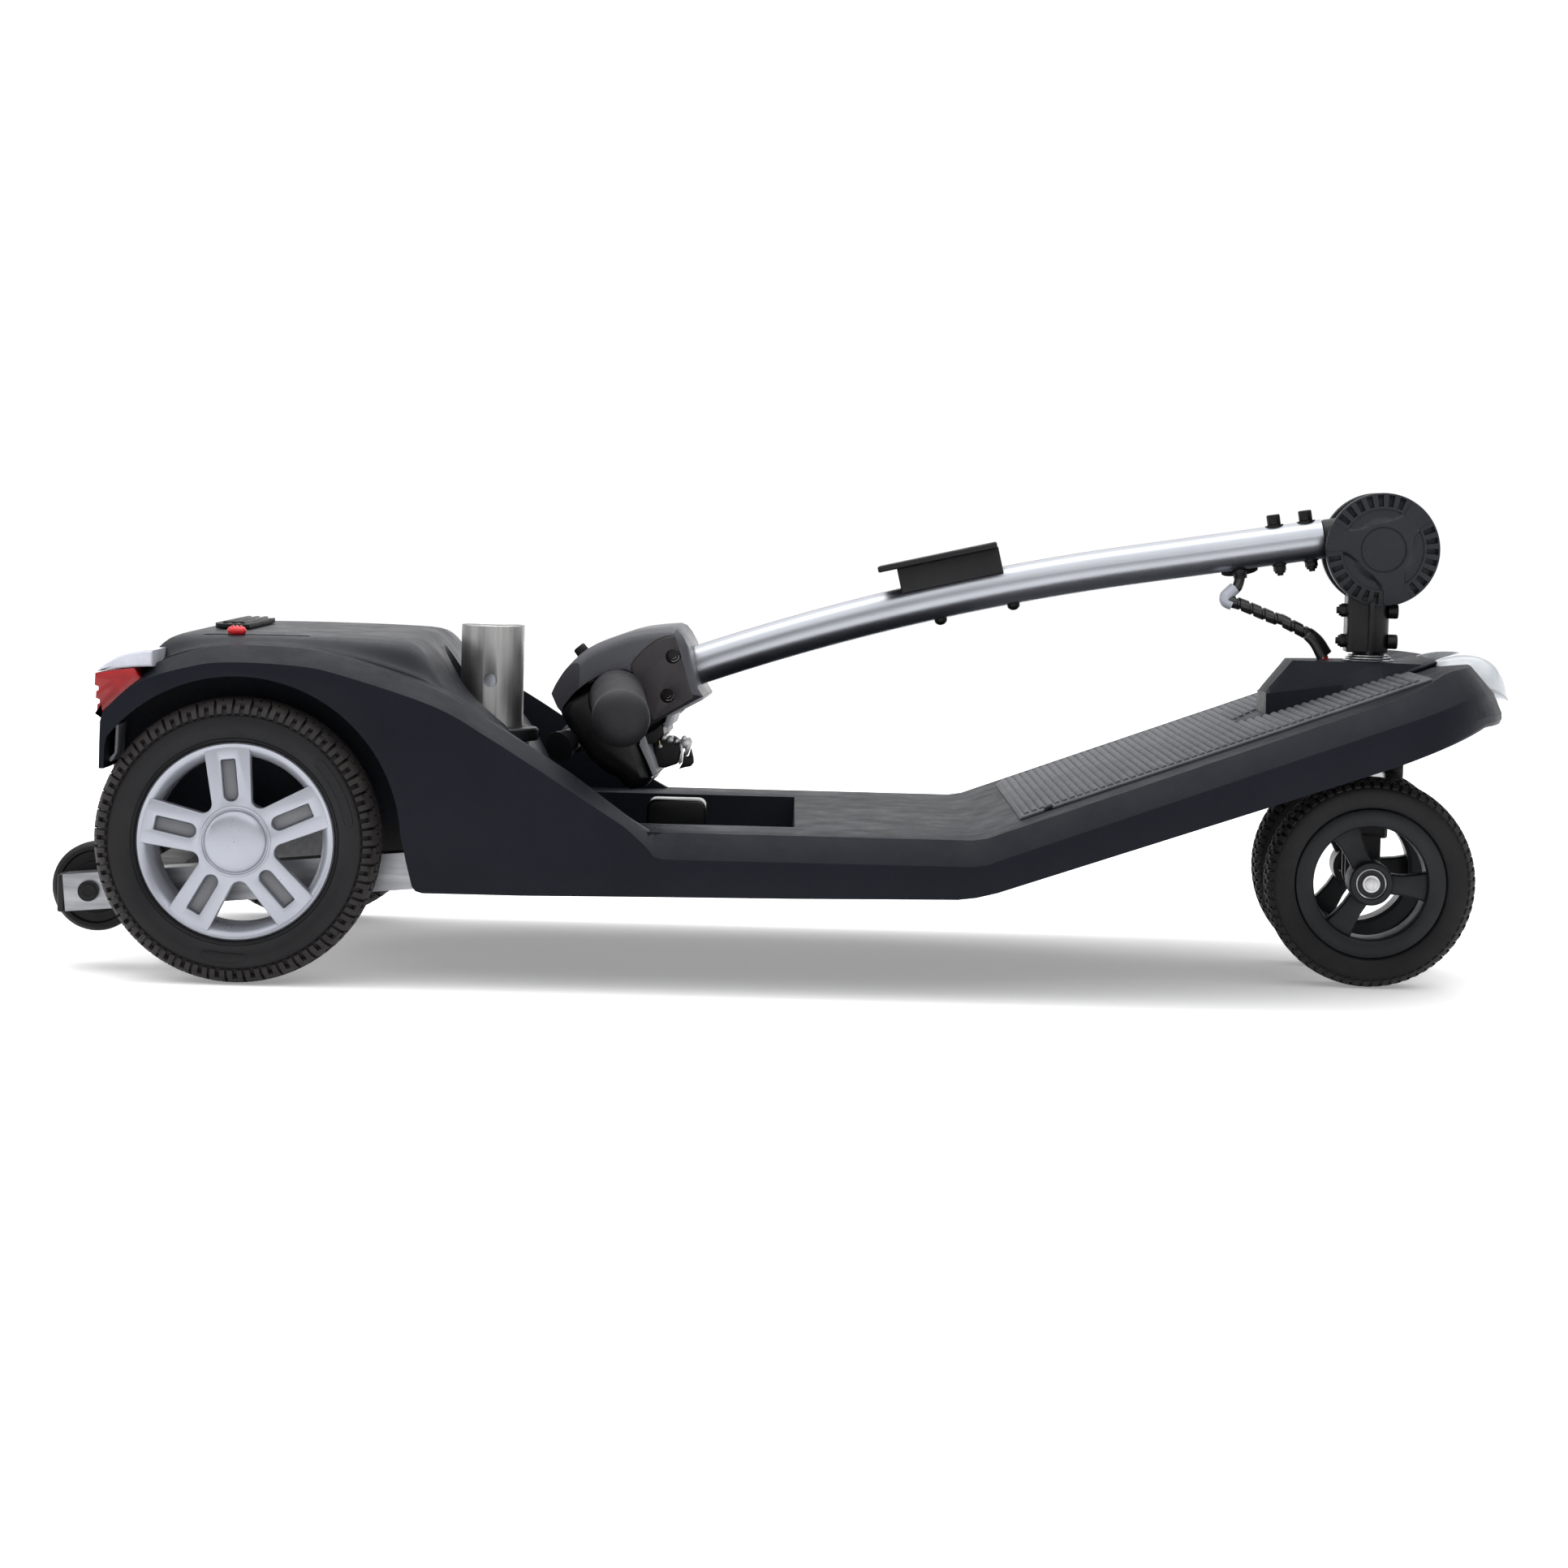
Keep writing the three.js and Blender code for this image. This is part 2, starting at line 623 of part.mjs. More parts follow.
// ---------------------------------------------------------------- wheels
function tyreProfile(rimR, tyreR, width) {
  const h = width / 2;
  const bulge = tyreR - rimR;
  return [
    [rimR, -h * 0.72], [rimR + bulge * 0.3, -h * 0.98], [rimR + bulge * 0.6, -h],
    [tyreR - bulge * 0.13, -h * 0.86], [tyreR - bulge * 0.03, -h * 0.6], [tyreR, 0],
    [tyreR - bulge * 0.03, h * 0.6], [tyreR - bulge * 0.13, h * 0.86],
    [rimR + bulge * 0.6, h], [rimR + bulge * 0.3, h * 0.98], [rimR, h * 0.72], [rimR, -h * 0.72],
  ];
}

function buildRearWheels() {
  const y = -rearTrack / 2;
  const z = rearTyreR;
  const at = (offset) => [rearAxleX, y + offset, z];
  placePair('rear_tyre', turned(tyreProfile(rearRimR, rearTyreR, rearTyreW), rearAxleX, y, z, 40), look.rubber);

  const barrelInnerR = 60;
  const barrelHalf = 19;
  const discOuter = -15;
  const discInner = -8;
  const hubR = 24;
  const hubOuter = -18;
  const barrel = ring(at(-barrelHalf), at(barrelHalf), rearRimR - GAP, barrelInnerR, 40);
  const disc = rod(at(discOuter), at(discInner), barrelInnerR + 1, barrelInnerR + 1, 40);
  const hub = rod(at(hubOuter), at(hubR), hubR, hubR, 32);
  const spokes = 5;
  const windowIn = 31;
  const windowOut = 57;
  const spread = rad(19);
  const narrow = 0.8;
  const windows = [];
  for (let k = 0; k < spokes; k += 1) {
    const angle = rad(60) + (k / spokes) * 2 * Math.PI;
    const window = new THREE.Shape();
    const point = (r, a) => [rearAxleX + r * Math.cos(a), z + r * Math.sin(a)];
    window.moveTo(...point(windowIn, angle - spread * narrow));
    window.lineTo(...point(windowOut, angle - spread));
    window.lineTo(...point(windowOut, angle + spread));
    window.lineTo(...point(windowIn, angle + spread * narrow));
    window.closePath();
    windows.push(sidePrism(window, y - 30, y + 10));
  }
  placePair('rear_rim', joined(barrel, cut(disc, ...windows), hub), look.rim);
  const capOuter = -25.5;
  const capFaceR = 21;
  placePair('hub_cap', rod(at(hubOuter - GAP), at(capOuter), hubR, capFaceR, 40), look.rim);
  const shaftR = 8.5;
  const shaftEnd = -50.5;
  const shaft = rod([rearAxleX, y + hubR + GAP, z], [rearAxleX, shaftEnd, z], shaftR);
  placePair('half_shaft', shaft, look.steel);
}

function buildAntiTip() {
  const h = antiTipW / 2;
  const boreR = 4.4;
  const round = 3;
  const profile = [
    [boreR, -h], [antiTipR - round, -h], [antiTipR, -h + round], [antiTipR, h - round], [antiTipR - round, h],
    [boreR, h], [boreR, -h],
  ];
  placePair('anti_tip_wheel', turned(profile, antiTipX, -antiTipY, antiTipZ, 28), look.rubber);
  const near = -railY - railSize / 2 - GAP;
  const far = -antiTipY + h;
  const along = (from, to, r) => rod([antiTipX, from, antiTipZ], [antiTipX, to, antiTipZ], r);
  const headR = 7;
  const headDepth = 4;
  const shankR = 4;
  const nutR = 6;
  const nutDepth = 5;
  const bolt = joined(
    along(near - headDepth, near, headR),
    along(near - 1, far + 1.5, shankR),
    along(far + GAP, far + nutDepth, nutR));
  placePair('anti_tip_bolt', bolt, look.black);
}

// ---------------------------------------------------------------- steering and front wheels
function buildSteering() {
  const z = frontTyreR;
  const crownTop = 130;
  const stemTop = 262;
  placeSteered('steering_stem', rod([steerX, 0, crownTop + GAP], [steerX, 0, stemTop], stemR), look.silver());

  const clampX = steerX - 3;
  const clampHalf = 15;
  const clampLow = 232;
  const clampHigh = 272;
  const tongueR = 24;
  const tongueHalf = 12;
  const shoulderX = 20;
  const shoulderZ = foldZ - 10;
  const pinR = 5;
  const alongPin = (half, r, sides = 20) => rod([foldX, -half, foldZ], [foldX, half, foldZ], r, r, sides);
  const tongue = joined(
    alongPin(tongueHalf, tongueR, 32),
    sidePrism([
      [clampX - clampHalf, stemTop], [clampX + clampHalf, stemTop], [foldX + shoulderX, shoulderZ],
      [foldX - shoulderX, shoulderZ],
    ], -tongueHalf, tongueHalf));
  const block = box(clampX - clampHalf, clampX + clampHalf, -clampHalf, clampHalf, clampLow, clampHigh);
  const slit = box(clampX + 1, clampX + 4, -20, 0, clampLow - 7, stemTop);
  const clamp = cut(
    joined(block, tongue),
    rod([steerX, 0, clampLow - 7], [steerX, 0, stemTop + GAP], stemR + GAP),
    slit,
    alongPin(20, pinR + GAP));
  placeSteered('stem_clamp', clamp, look.black());
  const pinHalf = 17.2;
  placeSteered('fold_pin', alongPin(pinHalf, pinR), look.steel());

  const crownLow = 100;
  const legLow = 56;
  const legIn = 9;
  const legOut = 17;
  const legHalfX = 12;
  const axleR = 6;
  const leg = box(steerX - legHalfX, steerX + legHalfX, -legOut, -legIn, legLow, crownLow + 1);
  const fork = cut(
    joined(box(steerX - legOut, steerX + legOut, -legOut, legOut, crownLow, crownTop), leg, mirrored(leg)),
    rod([steerX, -2 * legOut, z], [steerX, 2 * legOut, z], axleR + GAP));
  placeSteered('fork_carrier', fork, look.frame());
  const axleHalf = 87;
  placeSteered('front_axle', rod([steerX, -axleHalf, z], [steerX, axleHalf, z], axleR), look.steel());

  const y = -frontTrack / 2;
  const at = (offset) => [steerX, y + offset, z];
  const tyre = turned(tyreProfile(frontRimR, frontTyreR, frontTyreW), steerX, y, z, 34);
  placePair('front_tyre', tyre, look.rubber, placeSteered);
  const barrelInnerR = 42;
  const barrelHalf = 17;
  const hubR = 15;
  const hubInner = 47;
  const barrel = ring(at(-barrelHalf), at(barrelHalf), frontRimR - GAP, barrelInnerR, 34);
  const hub = rod(at(-barrelHalf), at(hubInner), hubR, hubR, 24);
  const spokeIn = 8;
  const spokeOut = 45;
  const spokeHalf = 9;
  const flare = 1.4;
  const spokes = [117, 237, 357].map((degrees) => {
    const c = Math.cos(rad(degrees));
    const s = Math.sin(rad(degrees));
    const corner = (r, side) => [steerX + c * r - s * side, z + s * r + c * side];
    const outline = [
      corner(spokeIn, -spokeHalf), corner(spokeOut, -spokeHalf * flare), corner(spokeOut, spokeHalf * flare),
      corner(spokeIn, spokeHalf),
    ];
    return sidePrism(outline, y - 9, y + 3);
  });
  const bore = rod(at(-2 * barrelHalf), at(hubInner + 13), axleR + GAP);
  placePair('front_rim', cut(joined(barrel, hub, ...spokes), bore), look.black, placeSteered);
}

// ---------------------------------------------------------------- tiller
const tubeBend = {
  x: tubeEndX - tubeStraight * Math.cos(tubeEndSlope),
  z: tubeEndZ - tubeStraight * Math.sin(tubeEndSlope),
};

// Centre line of the tiller tube below the fold joint, by distance from its end.
function tubeAt(distance) {
  if (distance <= tubeStraight) {
    return v3(tubeEndX - distance * Math.cos(tubeEndSlope), 0, tubeEndZ - distance * Math.sin(tubeEndSlope));
  }
  const angle = tubeEndSlope + (distance - tubeStraight) / tubeArcR;
  return v3(
    tubeBend.x - tubeArcR * (Math.sin(angle) - Math.sin(tubeEndSlope)), 0,
    tubeBend.z + tubeArcR * (Math.cos(angle) - Math.cos(tubeEndSlope)));
}

class TubeLine extends THREE.Curve {
  constructor(from, to) {
    super();
    this.from = from;
    this.to = to;
  }

  getPoint(t, target = new THREE.Vector3()) {
    return target.copy(tubeAt(this.from + (this.to - this.from) * t));
  }
}

function buildTillerTube() {
  const wall = 2;
  const outer = swept(new TubeLine(0, tubeLength), tubeR, tubeSteps, 20);
  const inner = swept(new TubeLine(-wall, tubeLength + wall), tubeR - wall, tubeSteps, 20);
  placeSteered('tiller_tube', cut(outer, inner), look.anodised());

  const end = tubeAt(-GAP);
  const plugStart = tubeAt(34);
  const plugEnd = tubeAt(-12);
  const plugR = tubeR - wall - 2 * GAP;
  const armR = 28;
  const armIn = 12.4;
  const armOut = 17;
  const armBack = 6;
  const armOutline = new THREE.Shape();
  armOutline.moveTo(plugEnd.x - armBack, plugEnd.z + tubeR - 1);
  armOutline.lineTo(foldX, foldZ + armR);
  armOutline.absarc(foldX, foldZ, armR, Math.PI / 2, -Math.PI * 0.72, true);
  armOutline.lineTo(plugEnd.x - armBack, plugEnd.z - tubeR);
  armOutline.closePath();
  const arm = sidePrism(armOutline, -armOut, -armIn);
  const pinR = 5;
  const tongueR = 25;
  const plug = cut(
    joined(
      rod(plugStart.toArray(), plugEnd.toArray(), plugR, plugR, 20),
      rod(end.toArray(), plugEnd.toArray(), tubeR, tubeR, 20),
      arm,
      mirrored(arm)),
    rod([foldX, -armIn, foldZ], [foldX, armIn, foldZ], tongueR, tongueR, 32),
    rod([foldX, -2 * armOut, foldZ], [foldX, 2 * armOut, foldZ], pinR + GAP));
  placeSteered('hinge_plug', plug, look.black());

  const edge = 11.5;
  const centreR = 18;
  const coverProfile = [
    [0, 0], [foldCoverR - 1, 0], [foldCoverR, -1], [foldCoverR, -8], [foldCoverR - 3, -edge],
    [centreR, -edge - 1.5], [centreR - 1, -edge - 0.5], [0, -edge - 0.5],
  ];
  const cover = turned(coverProfile.slice().reverse(), foldX, -armOut - GAP, foldZ, 36);
  placePair('fold_cover', cover, look.black, placeSteered);

  const footHalf = 12;
  const plateHalf = 24;
  const footOutline = [[81, 268], [152, 284], [150, 305.4], [70, 288.6], [70, 285], [82, 286.5]];
  const plateOutline = [[70, 285], [150, 302], [150, 305.4], [70, 288.6]];
  const bracket = cut(
    joined(sidePrism(footOutline, -footHalf, footHalf), sidePrism(plateOutline, -plateHalf, plateHalf)),
    swept(new TubeLine(0, tubeLength), tubeR + GAP, tubeSteps, 20));
  placeSteered('tube_bracket', bracket, look.black());
}

function buildCable() {
  const radius = 4;
  const sides = 8;
  const line = (route) => new THREE.CatmullRomCurve3(route, false, 'catmullrom', 0.5);
  const clip = v3(344, -4, 253);
  const upperRoute = [
    v3(311, 0, 286.5), v3(311.5, -1, 277), v3(304.5, -2, 272), v3(303, -3, 266.5), v3(312, -4, 264.5),
    v3(325, -4, 259.5), clip,
  ];
  const upper = swept(line(upperRoute), radius, 18, sides);
  const tubeSkin = swept(new TubeLine(0, tubeLength), tubeR + GAP, tubeSteps, 20);
  placeSteered('cable_upper', cut(upper, tubeSkin), look.black());

  const angle = restSteer;
  const turnPoint = (p) => v3(
    steerX + (p.x - steerX) * Math.cos(angle) - p.y * Math.sin(angle),
    (p.x - steerX) * Math.sin(angle) + p.y * Math.cos(angle), p.z);
  const joint = v3(1, 0, -0.7);       // the two lengths meet just past the clip
  const lowerRoute = [
    turnPoint(clip).add(joint), v3(352, -1, 248.5), v3(362, -2, 242.5), v3(369.5, -2, 235.5), cableBase.clone(),
    v3(375.5, -2, 216),
  ];
  place('cable_lower', swept(line(lowerRoute), radius, 14, sides), look.black());
}

// ---------------------------------------------------------------- console
const barLine = [v3(-110.5, -187, 179.5), v3(-124, -66, 192.5), v3(-124, 66, 192.5), v3(-110.5, 187, 179.5)];

const barNormal = barLine[0].clone().sub(barLine[1]).cross(v3(0, 1, 0)).normalize();

function barSolid(radius, reach) {
  const right = barLine[1].clone().lerp(barLine[0], reach);
  const left = barLine[2].clone().lerp(barLine[3], reach);
  return bentRod([right, barLine[1], barLine[2], left], barNormal, radius);
}

function buildConsole() {
  const crownHalf = 58;
  const bodyHalf = 48;
  const barR = 11;
  const seam = [[-101.4, 180], [-117.2, 211.8], [-142.6, 203.7], [-156, 196], [-165.7, 183.5]];
  const upperOutline = [
    [-173, 188], [-161, 208.5], [-139, 227], [-116, 235.5], [-85, 239.7], [-77, 231.5],
    [-66.5, 196], [-62, 190], ...seam,
  ];
  const tubeEntry = 60;               // how much of the tube runs inside the crown
  const upper = cut(
    sidePrism(upperOutline.slice().reverse(), -crownHalf, crownHalf),
    swept(new TubeLine(tubeLength - tubeEntry, tubeLength + 3), tubeR + 2 * GAP, 6, 20));
  placeSteered('console_upper_shell', upper, look.shell());

  const lowerSeam = seam.map(([x, z]) => [x - 0.5, z - 1]);
  const lowerOutline = [
    ...lowerSeam, [-165, 175.7], [-142.6, 142.3], [-122.8, 129.6], [-114, 122], [-102, 125], [-107, 152],
  ];
  const lower = cut(sidePrism(lowerOutline, -bodyHalf, bodyHalf), barSolid(barR + GAP, 1));
  placeSteered('console_lower_shell', lower, look.black());
  placeSteered('handlebar', barSolid(barR, 0.95), look.steel());

  const gripR = 19;
  const axis = barLine[0].clone().sub(barLine[1]).normalize();
  const gripStart = barLine[1].clone().addScaledVector(axis, 2);
  const gripEnd = barLine[0].clone().addScaledVector(axis, 1);
  const dome = new THREE.SphereGeometry(gripR, 18, 8);
  dome.translate(...gripEnd.toArray());
  const bodySide = box(-180, -60, -bodyHalf - GAP, 0, 150, 240);
  const grip = cut(
    joined(rod(gripStart.toArray(), gripEnd.toArray(), gripR, gripR, 18), solid(dome)),
    barSolid(barR + GAP, 0.98), bodySide);
  placePair('grip', grip, look.rubber, placeSteered);

  const carrier = sidePrism([[-106, 162], [-100, 166], [-79, 152], [-79, 134], [-97, 136]], -13, 13);
  const hookArm = sidePrism([[-80, 152], [-74, 158], [-69, 154], [-68, 137], [-72, 131], [-80, 134]], -4, 4);
  const face = sidePrism(lowerOutline.map(([x, z]) => [x + GAP, z]), -crownHalf - 2, crownHalf + 2);
  placeSteered('bag_hook', cut(joined(carrier, hookArm), face), look.black());

  const faceOut = v3(-0.83, 0, -0.557).normalize();
  const pivot = v3(-154.2, 0, 158.4);
  const leverReach = 60;
  const leverR = 8;
  const stalkR = 6;
  const barCentre = pivot.clone().addScaledVector(faceOut, 13);
  const stalkFoot = pivot.clone().addScaledVector(faceOut, 0.8);
  const lever = joined(
    rod([barCentre.x, -leverReach, barCentre.z], [barCentre.x, leverReach, barCentre.z], leverR),
    rod(stalkFoot.toArray(), barCentre.toArray(), stalkR));
  placeSteered('throttle_lever', lever, look.black());

  const dialR = 4.7;
  const dialDepth = 6;
  const dialOut = v3(-0.643, 0, 0.765).normalize();
  const dialFoot = v3(-152.9, -20, 215.5).addScaledVector(dialOut, 2 * GAP);
  const dialTop = dialFoot.clone().addScaledVector(dialOut, dialDepth);
  placeSteered('speed_dial', rod(dialFoot.toArray(), dialTop.toArray(), dialR), look.black());
}

buildFrame();
buildDeck();
buildMat();
buildFrontShroud();
buildSidePanels();
buildRearCover();
buildRearLights();
buildSeatPost();
buildDrive();
buildRearWheels();
buildAntiTip();
buildSteering();
buildTillerTube();
buildCable();
buildConsole();

export default scooter;
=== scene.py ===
"""Looks of a folding electric mobility scooter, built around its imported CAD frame.

Sizes are millimetres in the frame's own axes (+X forward, +Y to the left, +Z up), and become metres in
raw_object().
"""

import math

import bmesh
import bpy
import numpy as np
from mathutils import Matrix, Vector


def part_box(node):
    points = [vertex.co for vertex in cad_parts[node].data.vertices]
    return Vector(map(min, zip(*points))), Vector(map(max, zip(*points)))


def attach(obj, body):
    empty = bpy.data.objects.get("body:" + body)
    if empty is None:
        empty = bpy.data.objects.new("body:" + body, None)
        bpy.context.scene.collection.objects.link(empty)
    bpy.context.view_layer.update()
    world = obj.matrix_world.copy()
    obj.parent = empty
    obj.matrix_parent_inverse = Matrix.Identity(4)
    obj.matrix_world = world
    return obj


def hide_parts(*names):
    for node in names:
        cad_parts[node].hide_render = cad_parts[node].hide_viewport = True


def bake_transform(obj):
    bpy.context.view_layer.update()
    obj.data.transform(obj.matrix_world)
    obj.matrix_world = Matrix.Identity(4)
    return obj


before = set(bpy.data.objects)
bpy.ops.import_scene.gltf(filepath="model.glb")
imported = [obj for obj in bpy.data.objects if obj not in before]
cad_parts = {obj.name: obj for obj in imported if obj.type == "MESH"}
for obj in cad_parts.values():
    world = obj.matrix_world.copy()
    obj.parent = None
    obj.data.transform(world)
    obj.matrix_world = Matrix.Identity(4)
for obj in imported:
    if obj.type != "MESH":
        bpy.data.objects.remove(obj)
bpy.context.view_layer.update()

MM = 0.001
TAU = 2 * math.pi
rad = math.radians
RIGHT, LEFT = -1, 1
SIDES = ((RIGHT, "right"), (LEFT, "left"))


def span(node):
    """Lowest and highest corner of a CAD node, in millimetres."""
    low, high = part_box(node)
    return np.array(low) / MM, np.array(high) / MM


def middle(node):
    low, high = span(node)
    return (low + high) / 2


# ---------------------------------------------------------------- places taken from the frame
REST_STEER = rad(-2.8)      # the photograph shows the front wheels turned a little
STEER_X = middle("head_tube")[0]
REAR_HUB = middle("rear_tyre_right")
REAR_Y = abs(REAR_HUB[1])
FRONT_R = middle("front_tyre_right")[2]
FRONT_Y = 66.0
ANTI_TIP = middle("anti_tip_wheel_right")
FOLD = np.array([411.5, 0.0, 305.0])      # middle of the tiller's fold pin
BODY_HALF = span("deck_shroud")[1][1]
DECK_TOP = 107.0
KINK_X = 123.0      # where the flat deck turns up into the front ramp
SKIRT = 66.0        # lower edge of the flanks
SEAT_X = middle("seat_post_tube")[0]
RAMP = math.tan(rad(20.2))
RAMP_UNDER = math.tan(rad(19.5))


def ramp_top(x):
    return DECK_TOP + max(x - KINK_X, 0.0) * RAMP


def skirt_line(x):
    return SKIRT + max(x - KINK_X + 6, 0.0) * RAMP_UNDER


# ---------------------------------------------------------------- shape helpers
class Shape:
    """Loose vertices and faces, gathered before they become one mesh."""

    def __init__(self):
        self.verts = []
        self.faces = []

    def add(self, verts, faces):
        start = len(self.verts)
        self.verts.extend(tuple(float(c) for c in v) for v in verts)
        self.faces.extend(tuple(start + i for i in face) for face in faces)
        return self

    def join(self, other):
        return self.add(other.verts, other.faces)

    def moved(self, offset):
        return Shape().add([tuple(Vector(v) + offset) for v in self.verts], self.faces)

    def mirrored(self):
        out = Shape()
        out.add([(x, -y, z) for x, y, z in self.verts], [tuple(reversed(f)) for f in self.faces])
        return out


def lattice(rows, close_u=False, close_v=False):
    """Quads between rows of points."""
    shape = Shape()
    count = len(rows[0])
    shape.verts = [tuple(float(c) for c in p) for row in rows for p in row]
    last_row = len(rows) if close_v else len(rows) - 1
    last_col = count if close_u else count - 1
    for r in range(last_row):
        below = ((r + 1) % len(rows)) * count
        for k in range(last_col):
            nxt = (k + 1) % count
            shape.faces.append((r * count + k, r * count + nxt, below + nxt, below + k))
    return shape


def capped(rows):
    """A closed body through matching rings of points."""
    shape = lattice(rows, close_u=True)
    count = len(rows[0])
    last = (len(rows) - 1) * count
    shape.faces.append(tuple(reversed(range(count))))
    shape.faces.append(tuple(range(last, last + count)))
    return shape


def revolved(profile, centre, steps=96, axis=(0, 1, 0)):
    """A closed profile of (radius, offset along the axis) turned round an axis through centre."""
    turn = Vector((0, 1, 0)).rotation_difference(Vector(axis)).to_matrix()
    rows = []
    for k in range(steps):
        a = k / steps * TAU
        rows.append([turn @ Vector((r * math.cos(a), y, r * math.sin(a))) + Vector(centre) for r,
                     y in profile])
    return lattice(rows, close_u=True, close_v=True)


def upright(profile, x, steps):
    """A closed profile of (radius, height) turned round an upright line in the middle plane."""
    return revolved(profile, (x, 0, 0), steps, axis=(0, 0, 1))


def rod(start, end, r0, r1=None, steps=32, rings=()):
    """A round rod or cone with capped ends. rings are extra (share of the length, radius) pairs."""
    r1 = r0 if r1 is None else r1
    a, b = Vector(start), Vector(end)
    turn = Vector((0, 0, 1)).rotation_difference(b - a).to_matrix()
    stations = [(0.0, r0), *rings, (1.0, r1)]
    rows = []
    for share, r in stations:
        middle_point = a.lerp(b, share)
        rows.append([
            middle_point + turn @ Vector((r * math.cos(k / steps * TAU), r * math.sin(k / steps * TAU), 0))
            for k in range(steps)])
    return capped(rows)


PLACES = {
    "xz": lambda u, v, w: (u, w, v),
    "xy": lambda u, v, w: (u, v, w),
    "yz": lambda u, v, w: (w, u, v),
}


def prism(outline, low, high, plane="xz"):
    """An outline of (u, v) points between two heights of the third axis."""
    place = PLACES[plane]
    return capped([[place(u, v, low) for u, v in outline], [place(u, v, high) for u, v in outline]])


def on_side(side, near, far):
    """The lower and upper Y of a stretch on one side of the middle."""
    return sorted((side * near, side * far))


def block(x0, x1, y0, y1, z0, z1):
    return prism([(x0, z0), (x1, z0), (x1, z1), (x0, z1)], y0, y1)


def swept(points, radius, sides=16, section=None):
    """A section carried along points without spinning. radius may be one number or one for each point."""
    pts = [Vector(p) for p in points]
    tangents = []
    for k in range(len(pts)):
        tangents.append((pts[min(k + 1, len(pts) - 1)] - pts[max(k - 1, 0)]).normalized())
    side = tangents[0].orthogonal().normalized()
    rows = []
    for k, (p, t) in enumerate(zip(pts, tangents)):
        side = (side - t * side.dot(t)).normalized()
        up = t.cross(side)
        r = radius[k] if hasattr(radius, "__len__") else radius
        ring = section or [(math.cos(j / sides * TAU), math.sin(j / sides * TAU)) for j in range(sides)]
        rows.append([p + (side * u + up * v) * r for u, v in ring])
    return capped(rows)


def smooth_line(points, per_span=6):
    """Catmull-Rom points through a list of points of any dimension."""
    pts = [np.array(p, float) for p in points]
    out = []
    for k in range(len(pts) - 1):
        p0, p1, p2, p3 = pts[max(k - 1, 0)], pts[k], pts[k + 1], pts[min(k + 2, len(pts) - 1)]
        for j in range(per_span):
            t = j / per_span
            out.append(0.5 * (2 * p1 + (p2 - p0) * t + (2 * p0 - 5 * p1 + 4 * p2 - p3) * t ** 2
                              + (3 * p1 - p0 - 3 * p2 + p3) * t ** 3))
    out.append(pts[-1])
    return out


def arc(cx, cz, r, start, end, steps):
    return [(cx + r * math.cos(rad(start + (end - start) * k / steps)),
             cz + r * math.sin(rad(start + (end - start) * k / steps))) for k in range(steps + 1)]


STEER_TURN = (Matrix.Translation((STEER_X * MM, 0, 0)) @ Matrix.Rotation(REST_STEER, 4, "Z")
              @ Matrix.Translation((-STEER_X * MM, 0, 0)))


def settle(obj):
    """Applies an object's modifiers."""
    graph = bpy.context.evaluated_depsgraph_get()
    mesh = bpy.data.meshes.new_from_object(obj.evaluated_get(graph))
    obj.modifiers.clear()
    obj.data = mesh


MERGE = 0.002 * MM      # points closer than this become one


def raw_object(name, shape):
    mesh = bpy.data.meshes.new(name)
    mesh.from_pydata([(x * MM, y * MM, z * MM) for x, y, z in shape.verts], [], shape.faces)
    bm = bmesh.new()
    bm.from_mesh(mesh)
    bmesh.ops.remove_doubles(bm, verts=bm.verts, dist=MERGE)
    bmesh.ops.dissolve_degenerate(bm, edges=bm.edges, dist=MERGE)
    bmesh.ops.recalc_face_normals(bm, faces=bm.faces)
    bm.to_mesh(mesh)
    bm.free()
    obj = bpy.data.objects.new(name, mesh)
    bpy.context.scene.collection.objects.link(obj)
    return obj


def carve(obj, tools, operation):
    for shape in tools:
        tool = raw_object(obj.name + "_tool", shape)
        modifier = obj.modifiers.new("carve", "BOOLEAN")
        modifier.operation = operation
        modifier.solver = "EXACT"
        modifier.object = tool
        settle(obj)
        bpy.data.objects.remove(tool)


STEERED = ("steering_column", "front_wheel_right", "front_wheel_left", "tiller", "throttle", "dial")


def build(name, shape, material, body, replaces=(), slot=None, bevel=0.0, segments=2, smooth=32,
          cutters=(), keepers=(), after=(), subsurf=0, solidify=0.0, angle=28):
    """One finished piece from a shape in millimetres, riding on a CAD body.

    Steered bodies are drawn straight ahead and turned here by the resting steering angle. cutters are taken
    away first, keepers are what the piece is kept inside of, and after is taken away from the finished wall.
    The slot argument is not used."""
    obj = raw_object(name, shape)
    carve(obj, cutters, "DIFFERENCE")
    carve(obj, keepers, "INTERSECT")
    if subsurf:
        modifier = obj.modifiers.new("subsurf", "SUBSURF")
        modifier.levels = modifier.render_levels = subsurf
    if solidify:
        modifier = obj.modifiers.new("wall", "SOLIDIFY")
        modifier.thickness = solidify * MM
        modifier.offset = -1.0
        modifier.use_even_offset = True
    if after:
        settle(obj)
        carve(obj, after, "DIFFERENCE")
    if bevel:
        modifier = obj.modifiers.new("bevel", "BEVEL")
        modifier.width = bevel * MM
        modifier.segments = segments
        modifier.limit_method = "ANGLE"
        modifier.angle_limit = rad(angle)
        modifier.miter_outer = "MITER_ARC"
    if obj.modifiers:
        settle(obj)
    if body in STEERED:
        obj.data.transform(STEER_TURN)
    obj.data.materials.clear()
    obj.data.materials.append(material)
    obj.data.shade_smooth()
    obj.data.set_sharp_from_angle(angle=rad(smooth))
    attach(obj, body)
    if replaces:
        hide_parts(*replaces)
    return obj


# ---------------------------------------------------------------- materials
NOISE_SPAN = (0.3, 0.7)      # the part of a noise's range that is spread over two colours or roughnesses


